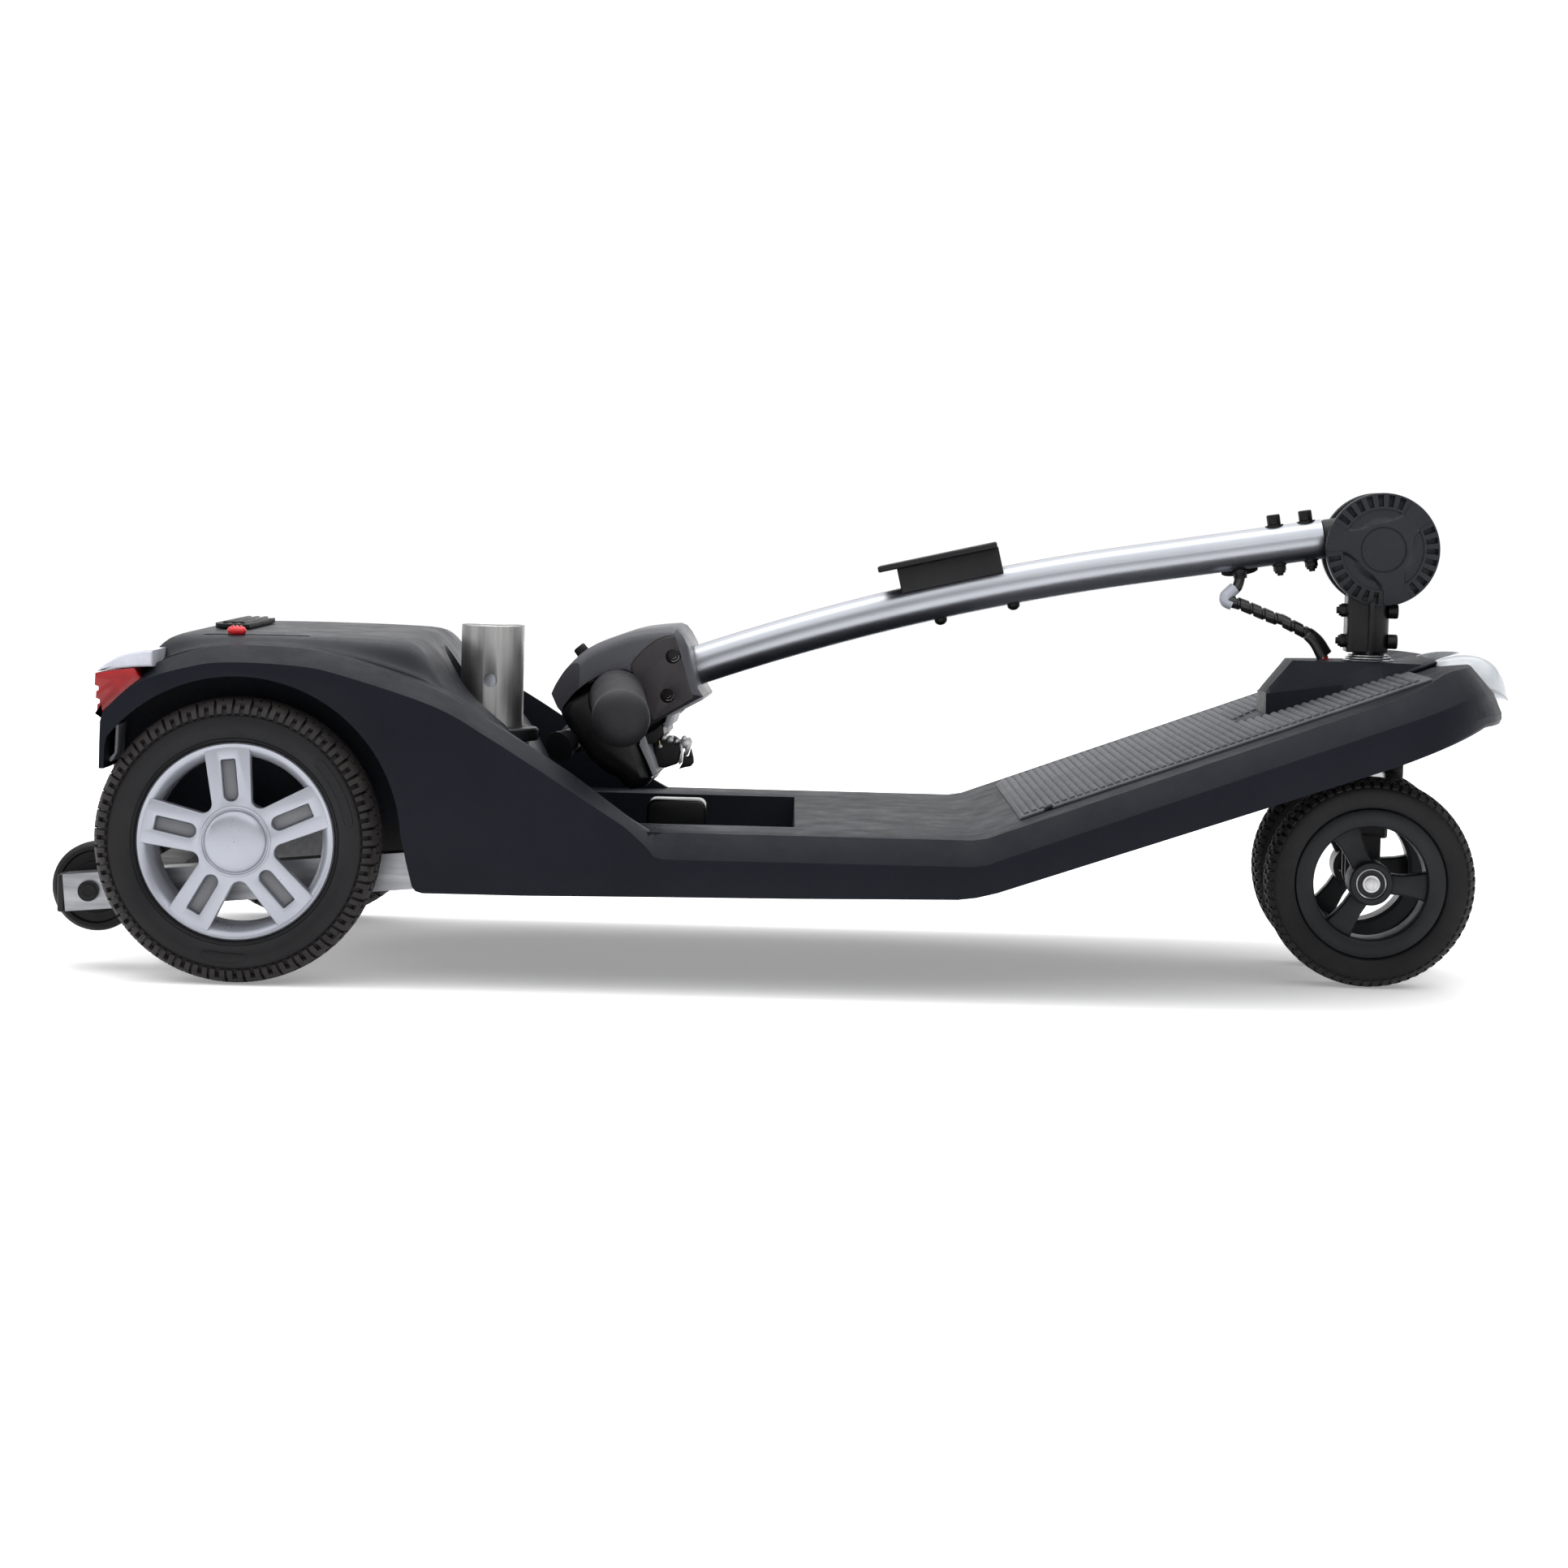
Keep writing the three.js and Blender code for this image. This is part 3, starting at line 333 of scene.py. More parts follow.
class Nodes:
    """A principled material with its node tree at hand."""

    def __init__(self, name, colour, roughness, metallic=0.0, **sockets):
        self.material = bpy.data.materials.new(name)
        self.material.use_nodes = True
        self.tree = self.material.node_tree
        self.shader = self.tree.nodes["Principled BSDF"]
        self.shader.inputs["Base Color"].default_value = (*colour, 1)
        self.shader.inputs["Roughness"].default_value = roughness
        self.shader.inputs["Metallic"].default_value = metallic
        for key, value in sockets.items():
            self.shader.inputs[key.replace("_", " ")].default_value = value
        self.coordinates = self.new("ShaderNodeTexCoord").outputs["Object"]
        self.normal = None

    def new(self, kind, **values):
        node = self.tree.nodes.new(kind)
        for key, value in values.items():
            setattr(node, key, value)
        return node

    def link(self, source, target):
        self.tree.links.new(source, target)

    def stretched(self, scale):
        mapping = self.new("ShaderNodeMapping")
        mapping.inputs["Scale"].default_value = scale
        self.link(self.coordinates, mapping.inputs["Vector"])
        return mapping.outputs["Vector"]

    def noise(self, scale, detail=3.0, roughness=0.5, stretch=None):
        node = self.new("ShaderNodeTexNoise")
        node.inputs["Scale"].default_value = scale
        node.inputs["Detail"].default_value = detail
        node.inputs["Roughness"].default_value = roughness
        self.link(self.stretched(stretch) if stretch else self.coordinates, node.inputs["Vector"])
        return node.outputs["Fac"]

    def colour_between(self, source, low, high):
        node = self.new("ShaderNodeValToRGB")
        for stop, at, colour in zip(node.color_ramp.elements, NOISE_SPAN, (low, high)):
            stop.position = at
            stop.color = (*colour, 1)
        self.link(source, node.inputs["Fac"])
        self.link(node.outputs["Color"], self.shader.inputs["Base Color"])

    def roughness_between(self, source, low, high):
        node = self.new("ShaderNodeMapRange")
        node.inputs["From Min"].default_value, node.inputs["From Max"].default_value = NOISE_SPAN
        node.inputs["To Min"].default_value, node.inputs["To Max"].default_value = low, high
        self.link(source, node.inputs["Value"])
        self.link(node.outputs["Result"], self.shader.inputs["Roughness"])

    def bump(self, source, distance):
        node = self.new("ShaderNodeBump")
        node.inputs["Distance"].default_value = distance
        node.inputs["Strength"].default_value = 1.0
        self.link(source, node.inputs["Height"])
        if self.normal:
            self.link(self.normal, node.inputs["Normal"])
        self.normal = node.outputs["Normal"]
        self.link(self.normal, self.shader.inputs["Normal"])


def grained(name, low, high, roughness, grain, depth, coarse=14.0, spread=0.08, **sockets):
    """Moulded plastic or rubber: a fine grain, and a slow drift in colour and gloss."""
    n = Nodes(name, low, roughness, **sockets)
    drift = n.noise(coarse, 4.0, 0.6)
    n.colour_between(drift, low, high)
    n.roughness_between(n.noise(coarse * 3, 5.0, 0.7), roughness - spread, roughness + spread)
    n.bump(n.noise(grain, 2.0, 0.6), depth)
    return n.material


def brushed(name, low, high, roughness, stretch, depth=0.00002, grain=420.0):
    """Drawn or brushed metal, with fine lines along one axis."""
    n = Nodes(name, low, roughness, metallic=1.0)
    lines = n.noise(grain, 3.0, 0.6, stretch)
    n.colour_between(lines, low, high)
    n.roughness_between(n.noise(30.0, 4.0, 0.7), roughness - 0.06, roughness + 0.08)
    n.bump(lines, depth)
    return n.material


SHELL = grained("shell_plastic", (0.0046, 0.0058, 0.0100), (0.0066, 0.0080, 0.0128), 0.46, 1500, 0.00022,
                Specular_IOR_Level=0.10)
COVER = grained("cover_plastic", (0.0070, 0.0084, 0.0130), (0.0096, 0.0112, 0.0162), 0.40, 1500, 0.00020,
                Specular_IOR_Level=0.22)
CONSOLE = grained("console_plastic", (0.0480, 0.0490, 0.0580), (0.0600, 0.0610, 0.0710), 0.36, 1300, 0.00012,
                  Specular_IOR_Level=0.45)
CHEEK = grained("cheek_plastic", (0.0300, 0.0262, 0.0290), (0.0370, 0.0325, 0.0355), 0.42, 1300, 0.00012,
                Specular_IOR_Level=0.30)
BLACK = grained("black_plastic", (0.0050, 0.0052, 0.0062), (0.0085, 0.0088, 0.0100), 0.40, 900, 0.00008,
                Specular_IOR_Level=0.26)
DISC = grained("disc_plastic", (0.0085, 0.0098, 0.0130), (0.0130, 0.0145, 0.0185), 0.44, 1500, 0.00014,
               Specular_IOR_Level=0.30)
GLOSS_BLACK = grained("gloss_black", (0.0030, 0.0030, 0.0038), (0.006, 0.006, 0.007), 0.24, 500, 0.00003,
                      spread=0.05, Specular_IOR_Level=0.28)
MAT_RUBBER = grained("mat_rubber", (0.050, 0.053, 0.060), (0.090, 0.094, 0.103), 0.58, 1100, 0.00012,
                     coarse=60.0, Specular_IOR_Level=0.35)
GRIP_RUBBER = grained("grip_rubber", (0.0110, 0.0108, 0.0125), (0.018, 0.0175, 0.0195), 0.58, 1600, 0.00010,
                      Specular_IOR_Level=0.26)
TYRE = grained("tyre_rubber", (0.0060, 0.0062, 0.0072), (0.0105, 0.0104, 0.0114), 0.50, 700, 0.00008,
               spread=0.10, Specular_IOR_Level=0.20)
TREAD = grained("tread_rubber", (0.0120, 0.0105, 0.0105), (0.0240, 0.0200, 0.0195), 0.66, 600, 0.00016,
                coarse=60.0, Specular_IOR_Level=0.26)
FRONT_RIM = grained("front_rim_plastic", (0.0055, 0.0068, 0.0085), (0.0090, 0.0105, 0.0125), 0.40, 900,
                    0.00008, Specular_IOR_Level=0.24)
WRAP = grained("cable_wrap", (0.006, 0.006, 0.007), (0.012, 0.012, 0.013), 0.28, 300, 0.00010, spread=0.06)
SLEEVE = grained("cable_sleeve", (0.34, 0.36, 0.42), (0.46, 0.48, 0.54), 0.30, 300, 0.00005)
STEEL_BLACK = grained("black_oxide", (0.009, 0.009, 0.010), (0.018, 0.018, 0.018), 0.36, 900, 0.00005,
                      Metallic=0.55, Specular_IOR_Level=0.25)
BLACK_PAINT = grained("black_powder", (0.006, 0.006, 0.007), (0.011, 0.011, 0.012), 0.45, 1200, 0.00012,
                      Specular_IOR_Level=0.25)
RED = grained("red_plastic", (0.62, 0.020, 0.026), (0.72, 0.030, 0.036), 0.28, 500, 0.00003)
RED_WIRE = grained("red_wire", (0.42, 0.018, 0.016), (0.52, 0.025, 0.022), 0.35, 500, 0.00003)
SPRING = brushed("spring_brass", (0.42, 0.30, 0.14), (0.55, 0.42, 0.22), 0.30, (1, 1, 1))
ANODISED = grained("anodised_tube", (0.37, 0.385, 0.415), (0.40, 0.415, 0.445), 0.31, 2600, 0.000001,
                   spread=0.02, Metallic=1.0)
SEAT_STEEL = brushed("seat_tube_steel", (0.36, 0.355, 0.35), (0.46, 0.455, 0.45), 0.40, (1, 1, 0.05), 0.00002)
STEEL = brushed("zinc_steel", (0.42, 0.42, 0.43), (0.56, 0.56, 0.57), 0.30, (1, 1, 0.2))
CAST = brushed("cast_alloy", (0.30, 0.30, 0.31), (0.40, 0.40, 0.41), 0.48, (1, 1, 1), 0.0001, grain=260.0)
RAIL = brushed("rail_silver", (0.20, 0.205, 0.22), (0.36, 0.365, 0.38), 0.34, (0.12, 1, 1), 0.00002,
               grain=140.0)
RIM_SILVER = grained("rim_silver", (0.345, 0.360, 0.405), (0.385, 0.400, 0.445), 0.33, 2400, 0.00001,
                     Metallic=0.55, Specular_IOR_Level=0.45)
SLOT_GREY = grained("rim_slot_grey", (0.13, 0.135, 0.145), (0.16, 0.165, 0.175), 0.50, 1800, 0.00006,
                    Metallic=0.3)
GREY_PLASTIC = grained("grey_bracket", (0.30, 0.31, 0.335), (0.36, 0.37, 0.395), 0.45, 900, 0.00006)


def lens(name, colour, roughness, transmission, mottle):
    n = Nodes(name, colour, roughness, IOR=1.49)
    n.shader.inputs["Transmission Weight"].default_value = transmission
    n.colour_between(n.noise(120.0, 3.0), colour, mottle)
    n.roughness_between(n.noise(60.0, 4.0), roughness * 0.8, roughness * 1.3)
    n.bump(n.noise(90.0, 1.0), 0.00003)
    return n.material


NOSE_CLEAR = lens("nose_clear", (0.50, 0.53, 0.56), 0.16, 0.12, (0.56, 0.585, 0.615))
RED_LENS = lens("red_lens", (0.42, 0.004, 0.008), 0.09, 0.30, (0.26, 0.002, 0.004))
FROSTED_LENS = lens("frosted_lens", (0.50, 0.52, 0.58), 0.20, 0.10, (0.60, 0.62, 0.68))


# ---------------------------------------------------------------- camera, light and floor
LENS = 93.93
CAMERA_PLACE = (-0.008, -2.9175, 0.3313)      # metres
CAMERA_TILT = rad(4.016)
CAMERA_ROLL = rad(1.499)


def make_camera():
    data = bpy.data.cameras.new("camera")
    data.sensor_width = 36.0
    data.lens = LENS
    camera = bpy.data.objects.new("camera", data)
    bpy.context.scene.collection.objects.link(camera)
    tilt, roll = CAMERA_TILT, CAMERA_ROLL
    ahead = Vector((0.0, math.cos(tilt), -math.sin(tilt)))
    right, up = Vector((1.0, 0.0, 0.0)), Vector((0.0, math.sin(tilt), math.cos(tilt)))
    turned_right = right * math.cos(roll) + up * math.sin(roll)
    turned_up = up * math.cos(roll) - right * math.sin(roll)
    basis = Matrix((turned_right, turned_up, -ahead)).transposed().to_4x4()
    camera.matrix_world = Matrix.Translation(CAMERA_PLACE) @ basis
    bpy.context.scene.camera = camera


SKY_STRENGTH = 1.28
PAPER_GLOW = 0.26      # keeps the floor pale without more light on the object
SKY = ((0.0, 0.80), (0.17, 0.80), (0.26, 0.16), (0.48, 0.20), (0.62, 1.30))     # (height, brightness)
FLOOR_HALF = 6000


# name, place, target and size in metres, power in watts
LAMPS = (
    ("top", (0.0, 0.1, 2.4), (0, 0, 0.1), (2.6, 1.2), 20.0),
    ("front", (0.5, -2.4, 1.5), (0, 0, 0.15), (1.6, 0.5), 5.0),
    ("left", (-2.2, -0.8, 0.9), (-0.2, 0, 0.15), (0.6, 1.2), 4.0),
    ("back", (0.2, 2.4, 1.6), (0, 0, 0.2), (2.6, 0.8), 6.0),
    ("under", (0.0, 2.2, 0.30), (0, 0, 0.0), (3.4, 0.4), 3.0),
)


def area_light(name, place, target, size, power):
    data = bpy.data.lights.new(name, "AREA")
    data.shape = "RECTANGLE"
    data.size, data.size_y = size
    data.energy = power
    lamp = bpy.data.objects.new(name, data)
    lamp.location = place
    lamp.rotation_euler = (Vector(target) - Vector(place)).to_track_quat("-Z", "Y").to_euler()
    bpy.context.scene.collection.objects.link(lamp)


def make_studio():
    scene = bpy.context.scene
    scene.view_settings.view_transform = "Standard"
    world = bpy.data.worlds.new("studio")
    world.use_nodes = True
    tree = world.node_tree
    direction = tree.nodes.new("ShaderNodeTexCoord").outputs["Generated"]
    height = tree.nodes.new("ShaderNodeSeparateXYZ")
    tree.links.new(direction, height.inputs["Vector"])
    sky = tree.nodes.new("ShaderNodeValToRGB")
    while len(sky.color_ramp.elements) < len(SKY):
        sky.color_ramp.elements.new(0.5)
    for stop, (at, brightness) in zip(sky.color_ramp.elements, SKY):
        stop.position = at
        stop.color = (brightness, brightness, brightness * 1.01, 1)
    tree.links.new(height.outputs["Z"], sky.inputs["Fac"])
    tree.links.new(sky.outputs["Color"], tree.nodes["Background"].inputs["Color"])
    tree.nodes["Background"].inputs["Strength"].default_value = SKY_STRENGTH
    scene.world = world
    for lamp in LAMPS:
        area_light(*lamp)

    floor = lattice([[(x, y, 0) for x in (-FLOOR_HALF, FLOOR_HALF)] for y in (-FLOOR_HALF, FLOOR_HALF)])
    ground = raw_object("floor", floor)
    paper = Nodes("floor_paper", (0.96, 0.96, 0.96), 0.9)
    paper.shader.inputs["Emission Color"].default_value = (1, 1, 1, 1)
    paper.shader.inputs["Emission Strength"].default_value = PAPER_GLOW
    ground.data.materials.append(paper.material)


# ---------------------------------------------------------------- one-piece body moulding
WALL = 3.0
ARCH_R = 109.0
ARCH_END = (-98.5, 99.0)      # where the arch's crest comes down to the deck, as (x, z)
FLANK_DROP = 16.0             # how far the flank's upper edge lies below the deck
CREST = [
    (-459.7, 141.0), (-459.6, 158.0), (-459.3, 172.0), (-457.6, 178.6), (-434.0, 198.6), (-400.5, 209.8),
    (-374.0, 213.2), (-332.6, 212.0), (-303.0, 207.0), (-240.0, 187.6), (-203.4, 167.8), (-168.7, 146.6),
    (-134.0, 124.8),
]
NOSE_X = 396.0
NOSE_REACH = 94.0
NOSE_POWER = 2.5
NOSE_STEPS = 26
FENDER_IN = 172.0
DECK_EDGE = 212.0
DECK_INNER = 196.0            # half width of the deck between the wheel fenders
POCKET = (-165.0, 0.0, 140.0, 72.0)      # the battery's place: from x, to x, half width, floor z


def crest_path():
    """Points along the moulding's long edge, each with its rows from the wall's top inwards.

    Each entry is (x, wall half width, wall top z, chamfer half width and z, inner half width and z)."""
    line = [(p[0], p[1]) for p in smooth_line(CREST[3:], 5)]
    line = [CREST[0], CREST[1], CREST[2], *line[:-1], (-134.0, 124.8), (-112.0, 111.0)]
    rows = []
    for k, (x, z) in enumerate(line):
        ahead, behind = line[min(k + 1, len(line) - 1)], line[max(k - 1, 0)]
        slope = math.atan2(ahead[1] - behind[1], ahead[0] - behind[0])
        lift = max(math.cos(slope), 0.0) ** 2 * 10.5
        slim = np.clip((x + 150.0) / 50.0, 0, 1)
        rise = lift * (1 - 0.55 * slim)
        rows.append((x, BODY_HALF, z, 201.0 + 4 * slim, z + rise,
                     FENDER_IN if x < -215 else 190.0 + 6 * slim, z + rise + 0.5))
    return rows


def nose_points():
    """Plan points round the nose from the right flank to the middle, with the outward normal."""
    points = []
    for k in range(NOSE_STEPS + 1):
        t = k / NOSE_STEPS * math.pi / 2
        x = NOSE_X + NOSE_REACH * abs(math.sin(t)) ** (2 / NOSE_POWER)
        y = BODY_HALF * abs(math.cos(t)) ** (2 / NOSE_POWER)
        nx = (abs(x - NOSE_X) / NOSE_REACH) ** (NOSE_POWER - 1) / NOSE_REACH
        ny = (y / BODY_HALF) ** (NOSE_POWER - 1) / BODY_HALF
        size = math.hypot(nx, ny)
        points.append((x, y, nx / size, ny / size))
    return points


def nose_fall(x):
    return 16.0 * max((x - 440.0) / 51.5, 0.0) ** 1.6


# (x, depth below the deck) of the flank's upper edge beside the flat deck, from the front backwards
FLANK_TOP = ((KINK_X + 4, 14.8), (KINK_X - 4, 16.2), (-86.0, 16.5), (-92.5, 15.0))


def body_flank():
    """The right-hand flank wall: one flat sheet with the wheel arch in it."""
    hub_x, hub_z = REAR_HUB[0], REAR_HUB[2]
    outline = [(-459.7, 141.0), (-456.6, 141.0), (-456.2, 156.0)]
    outline += arc(hub_x, hub_z, ARCH_R, 142.0, 4.0, 60)
    outline += [(-256.0, 84.0), (-252.0, 68.5), (-249.6, 65.2), (-245.0, 63.9)]
    outline += [(-180.0, 64.0), (-91.7, SKIRT - 0.6), (0.0, SKIRT + 0.6), (KINK_X - 14, SKIRT + 2.8)]
    outline += [(KINK_X - 2, SKIRT + 4.4), (KINK_X + 12, SKIRT + 8.0), (NOSE_X, skirt_line(NOSE_X) - 0.5)]
    low, wall_top = skirt_line(NOSE_X) - 0.5, ramp_top(NOSE_X) - FLANK_DROP
    top = [(NOSE_X, low + (wall_top - low) * 0.5), (NOSE_X, wall_top)]
    top += [(x, DECK_TOP - drop) for x, drop in FLANK_TOP] + [ARCH_END]
    top += [(row[0], row[2]) for row in reversed(crest_path())][:-1]
    return outline + top


def body_shape():
    shape = Shape()
    side = Shape()
    outline = body_flank()
    side.add([(x, -BODY_HALF, z) for x, z in outline], [tuple(range(len(outline)))])

    rows = [[(x, -w, z), (x + 0.5, -w2, z2), (x + 0.5, -w3, z3), (x + 0.5, -w3, 100.0 if x < -300 else 104.0)]
            for x, w, z, w2, z2, w3, z3 in crest_path()]
    corner = [(ARCH_END[0], -BODY_HALF, ARCH_END[1]), (ARCH_END[0] + 2, -208.0, DECK_TOP + 0.2)]
    inner_x = ARCH_END[0] + 1
    rows.append([*corner, (inner_x, -DECK_INNER, DECK_TOP + 0.4), (inner_x, -DECK_INNER, DECK_TOP - WALL)])
    side.join(lattice(rows))
    edge = ((KINK_X + 5, -DECK_EDGE, DECK_TOP + 1.6), (KINK_X - 5, -DECK_EDGE, DECK_TOP),
            (-86.0, -DECK_EDGE, DECK_TOP), (-93.0, -DECK_EDGE + 1.5, DECK_TOP))
    deck_rows = [[(x, -BODY_HALF, DECK_TOP - drop), inner] for (x, drop), inner in zip(FLANK_TOP, edge)]
    last = [(NOSE_X, -BODY_HALF, ramp_top(NOSE_X) - FLANK_DROP), (NOSE_X, -DECK_EDGE, ramp_top(NOSE_X))]
    side.join(lattice([corner, *reversed(deck_rows), last]))
    shape.join(side).join(side.mirrored())

    nose = []
    plan = nose_points()
    full = [(x, -y, nx, -ny) for x, y, nx, ny in plan] + plan[-2::-1]
    for x, y, nx, ny in full:
        fall = nose_fall(x)
        share = min(max((x - NOSE_X) / 80.0, 0.0), 1.0)
        low = min(skirt_line(x) - 0.5 + 3.4 * share, 190.0)
        top = ramp_top(x) - fall
        wall_top = top - 16.0 - 2.0 * share
        ledge = low + (wall_top - low) * (0.5 - 0.18 * share)
        middle_x = NOSE_X + (x - NOSE_X) * 0.5

        def out(distance, height):
            return (x + nx * distance, y + ny * distance, height)

        nose.append([out(-1.2 * share, low), out(0, low + 3.0 * share), out(-0.2 * share, ledge),
                     out(-6.0 * share, wall_top), out(-17.0 - 5.0 * share, top),
                     (middle_x, y * 0.86, ramp_top(middle_x)), (NOSE_X, y * 0.80, ramp_top(NOSE_X))])
    shape.join(lattice(nose))
    return shape


def deck_sheet():
    """The floor between the flanks, with the battery pocket in it."""
    x0, x1, half, floor = POCKET
    edge = DECK_EDGE
    shape = Shape()
    xs = [-262.0, x0, x1, KINK_X - 5]
    for low, high in zip(xs[:-1], xs[1:]):
        for y0, y1 in ((-edge, -half), (-half, half), (half, edge)):
            if low == x0 and y0 == -half:
                continue
            a0, a1 = y0, y1
            if high <= x0 + 1:
                a0, a1 = max(y0, -DECK_INNER), min(y1, DECK_INNER)
            shape.join(lattice([[(low, a0, DECK_TOP), (low, a1, DECK_TOP)],
                                [(high, a0, DECK_TOP), (high, a1, DECK_TOP)]]))
    for y0, y1 in ((-edge, -half), (-half, half), (half, edge)):
        shape.join(lattice([
            [(KINK_X - 5, y0, DECK_TOP), (KINK_X - 5, y1, DECK_TOP)],
            [(KINK_X + 5, y0, DECK_TOP + 1.6), (KINK_X + 5, y1, DECK_TOP + 1.6)],
            [(NOSE_X, y0, ramp_top(NOSE_X)), (NOSE_X, y1, ramp_top(NOSE_X))]]))
    loop = [(x0, -half), (x1, -half), (x1, half), (x0, half)]
    rim = [(x, y, DECK_TOP) for x, y in loop]
    base = [(x + (2 if x == x0 else -2), y * 0.985, floor) for x, y in loop]
    shape.join(lattice([rim, base], close_u=True))
    shape.add(base, [(0, 1, 2, 3)])
    return shape


def make_body():
    body = body_shape()
    body.join(deck_sheet())
    build("body_moulding", body, SHELL, "chassis", ("deck_shroud", "side_panel_right", "side_panel_left"),
          solidify=WALL, bevel=2.2, segments=3, smooth=40, angle=14)


# ---------------------------------------------------------------- wheels
def wheel_point(hub, radius, angle, offset):
    """A point of a wheel: offset is along +Y from the wheel's middle plane."""
    return (hub[0] + radius * math.cos(angle), hub[1] + offset, hub[2] + radius * math.sin(angle))


def tyre_ring(hub, outer, inner, half_bead, steps):
    """A closed carcass from half a section: outer is [(radius, offset), ...] from the bead to the crown."""
    half = smooth_line(outer, 4)
    right = [(p[0], -p[1]) for p in half]
    left = [(p[0], p[1]) for p in reversed(half[:-1])]
    return revolved([(inner, -half_bead), *right, *left, (inner, half_bead)], hub, steps)


def tread_patch(hub, surface, lift, s0, s1, a0, a1, side, steps):
    """A raised block of tread over part of the section, s from the shoulder (0) to the crown (1)."""
    rows = []
    for k in range(steps + 1):
        s = s0 + (s1 - s0) * k / steps
        low_r, low_y = surface(s, 0.0)
        top_r, top_y = surface(s, lift)
        rows.append([wheel_point(hub, low_r, a0, side * low_y), wheel_point(hub, top_r, a0, side * top_y),
                     wheel_point(hub, top_r, a1, side * top_y), wheel_point(hub, low_r, a1, side * low_y)])
    return capped(rows)


def section_surface(points):
    """A function giving (radius, offset) along a section, raised along its outward normal."""
    line = smooth_line(points, 6)
    marks = np.linspace(0, 1, len(line))
    radii, offsets = np.array([p[0] for p in line]), np.array([p[1] for p in line])

    def at(s, lift):
        r, y = np.interp(s, marks, radii), np.interp(s, marks, offsets)
        r2, y2 = np.interp(min(s + 0.02, 1), marks, radii), np.interp(min(s + 0.02, 1), marks, offsets)
        r1, y1 = np.interp(max(s - 0.02, 0), marks, radii), np.interp(max(s - 0.02, 0), marks, offsets)
        size = math.hypot(r2 - r1, y2 - y1)
        return r - (y2 - y1) / size * lift, y + (r2 - r1) / size * lift

    return at


REAR_SECTION = [(66.0, 18.5), (68.5, 22.5), (74.0, 25.6), (79.0, 26.2), (83.5, 25.2), (88.0, 21.5),
                (91.0, 15.5), (92.2, 8.0), (92.5, 0.0)]
REAR_SHOULDER = [(82.6, 25.4), (86.2, 23.4), (89.4, 19.6), (91.4, 13.6), (92.2, 7.4), (92.5, 0.8)]
SIDEWALL_Y = 26.0
REAR_LUGS = 47
REAR_LIFT = 2.5
# (from, to) across the section from shoulder to crown, (from, to) in lug pitches, and steps across the block
REAR_BLOCKS = ((0.10, 0.36, 0.00, 0.29, 3), (0.10, 0.36, 0.55, 0.84, 3), (0.36, 0.56, 0.00, 0.84, 3),
               (0.56, 0.80, 0.05, 0.50, 3), (0.86, 0.99, 0.30, 1.05, 2), (0.62, 0.80, 0.60, 0.96, 2))


def rear_tyre(hub):
    carcass = tyre_ring(hub, REAR_SECTION, 65.0, 17.0, 144)
    for edge in (-1, 1):
        carcass.join(revolved([(83.2, edge * 24.4), (83.9, edge * 25.9), (84.6, edge * 25.3),
                               (84.6, edge * 23.4)], hub, 144))
        carcass.join(revolved([(66.6, edge * 19.0), (67.2, edge * 21.9), (68.3, edge * 22.9),
                               (69.0, edge * 20.0)], hub, 144))
    return carcass


def rear_tread(hub):
    shape = Shape()
    surface = section_surface(REAR_SHOULDER)
    pitch = TAU / REAR_LUGS
    for edge in (-1, 1):
        for k in range(REAR_LUGS):
            a = (k + (0.5 if edge > 0 else 0.0)) * pitch
            for s0, s1, from_pitch, to_pitch, steps in REAR_BLOCKS:
                shape.join(tread_patch(hub, surface, REAR_LIFT, s0, s1, a + from_pitch * pitch,
                                       a + to_pitch * pitch, edge, steps))
    return shape


def moulded_marks(hub, edge):
    """A raised strip with round ends and the outline of an oval, moulded on the sidewall."""
    radius, start, end, half, lift, steps = 77.0, 9.0, 46.0, 3.4, 0.75, 26
    rows = []
    for k in range(steps + 1):
        a = rad(start + (end - start) * k / steps)
        close = min(k, steps - k) * rad(end - start) / steps * radius
        w = half * math.sqrt(max(1 - max(1 - close / half, 0) ** 2, 0.02))
        profile = ((-w, -0.6), (-w * 0.8, lift), (w * 0.8, lift), (w, -0.6))
        rows.append([wheel_point(hub, radius + w, a, edge * (SIDEWALL_Y + up)) for w, up in profile])
    shape = capped(rows)
    oval_r, oval_angle, half_length, half_width, steps = 76.2, rad(266.0), 15.5, 3.6, 48
    oval = []
    for k in range(steps):
        t = k / steps * TAU
        c, s = math.cos(t), math.sin(t)
        along = half_length * math.copysign(abs(c) ** 0.45, c)
        across = half_width * math.copysign(abs(s) ** 0.9, s)
        oval.append(wheel_point(hub, oval_r + across, oval_angle + along / oval_r, edge * (SIDEWALL_Y + 0.1)))
    oval.append(oval[0])
    return shape.join(swept(oval, 0.45, 8))


SPOKES = 5
SPOKE_STEP = TAU / SPOKES
SPOKE_TURN = rad(96.0)


def on_spoke(outline, hub, k):
    """An outline drawn along the first axis, turned onto a spoke of the wheel."""
    axis = SPOKE_TURN + SPOKE_STEP * k
    c, s = math.cos(axis), math.sin(axis)
    return [(hub[0] + u * c - v * s, hub[2] + u * s + v * c) for u, v in outline]


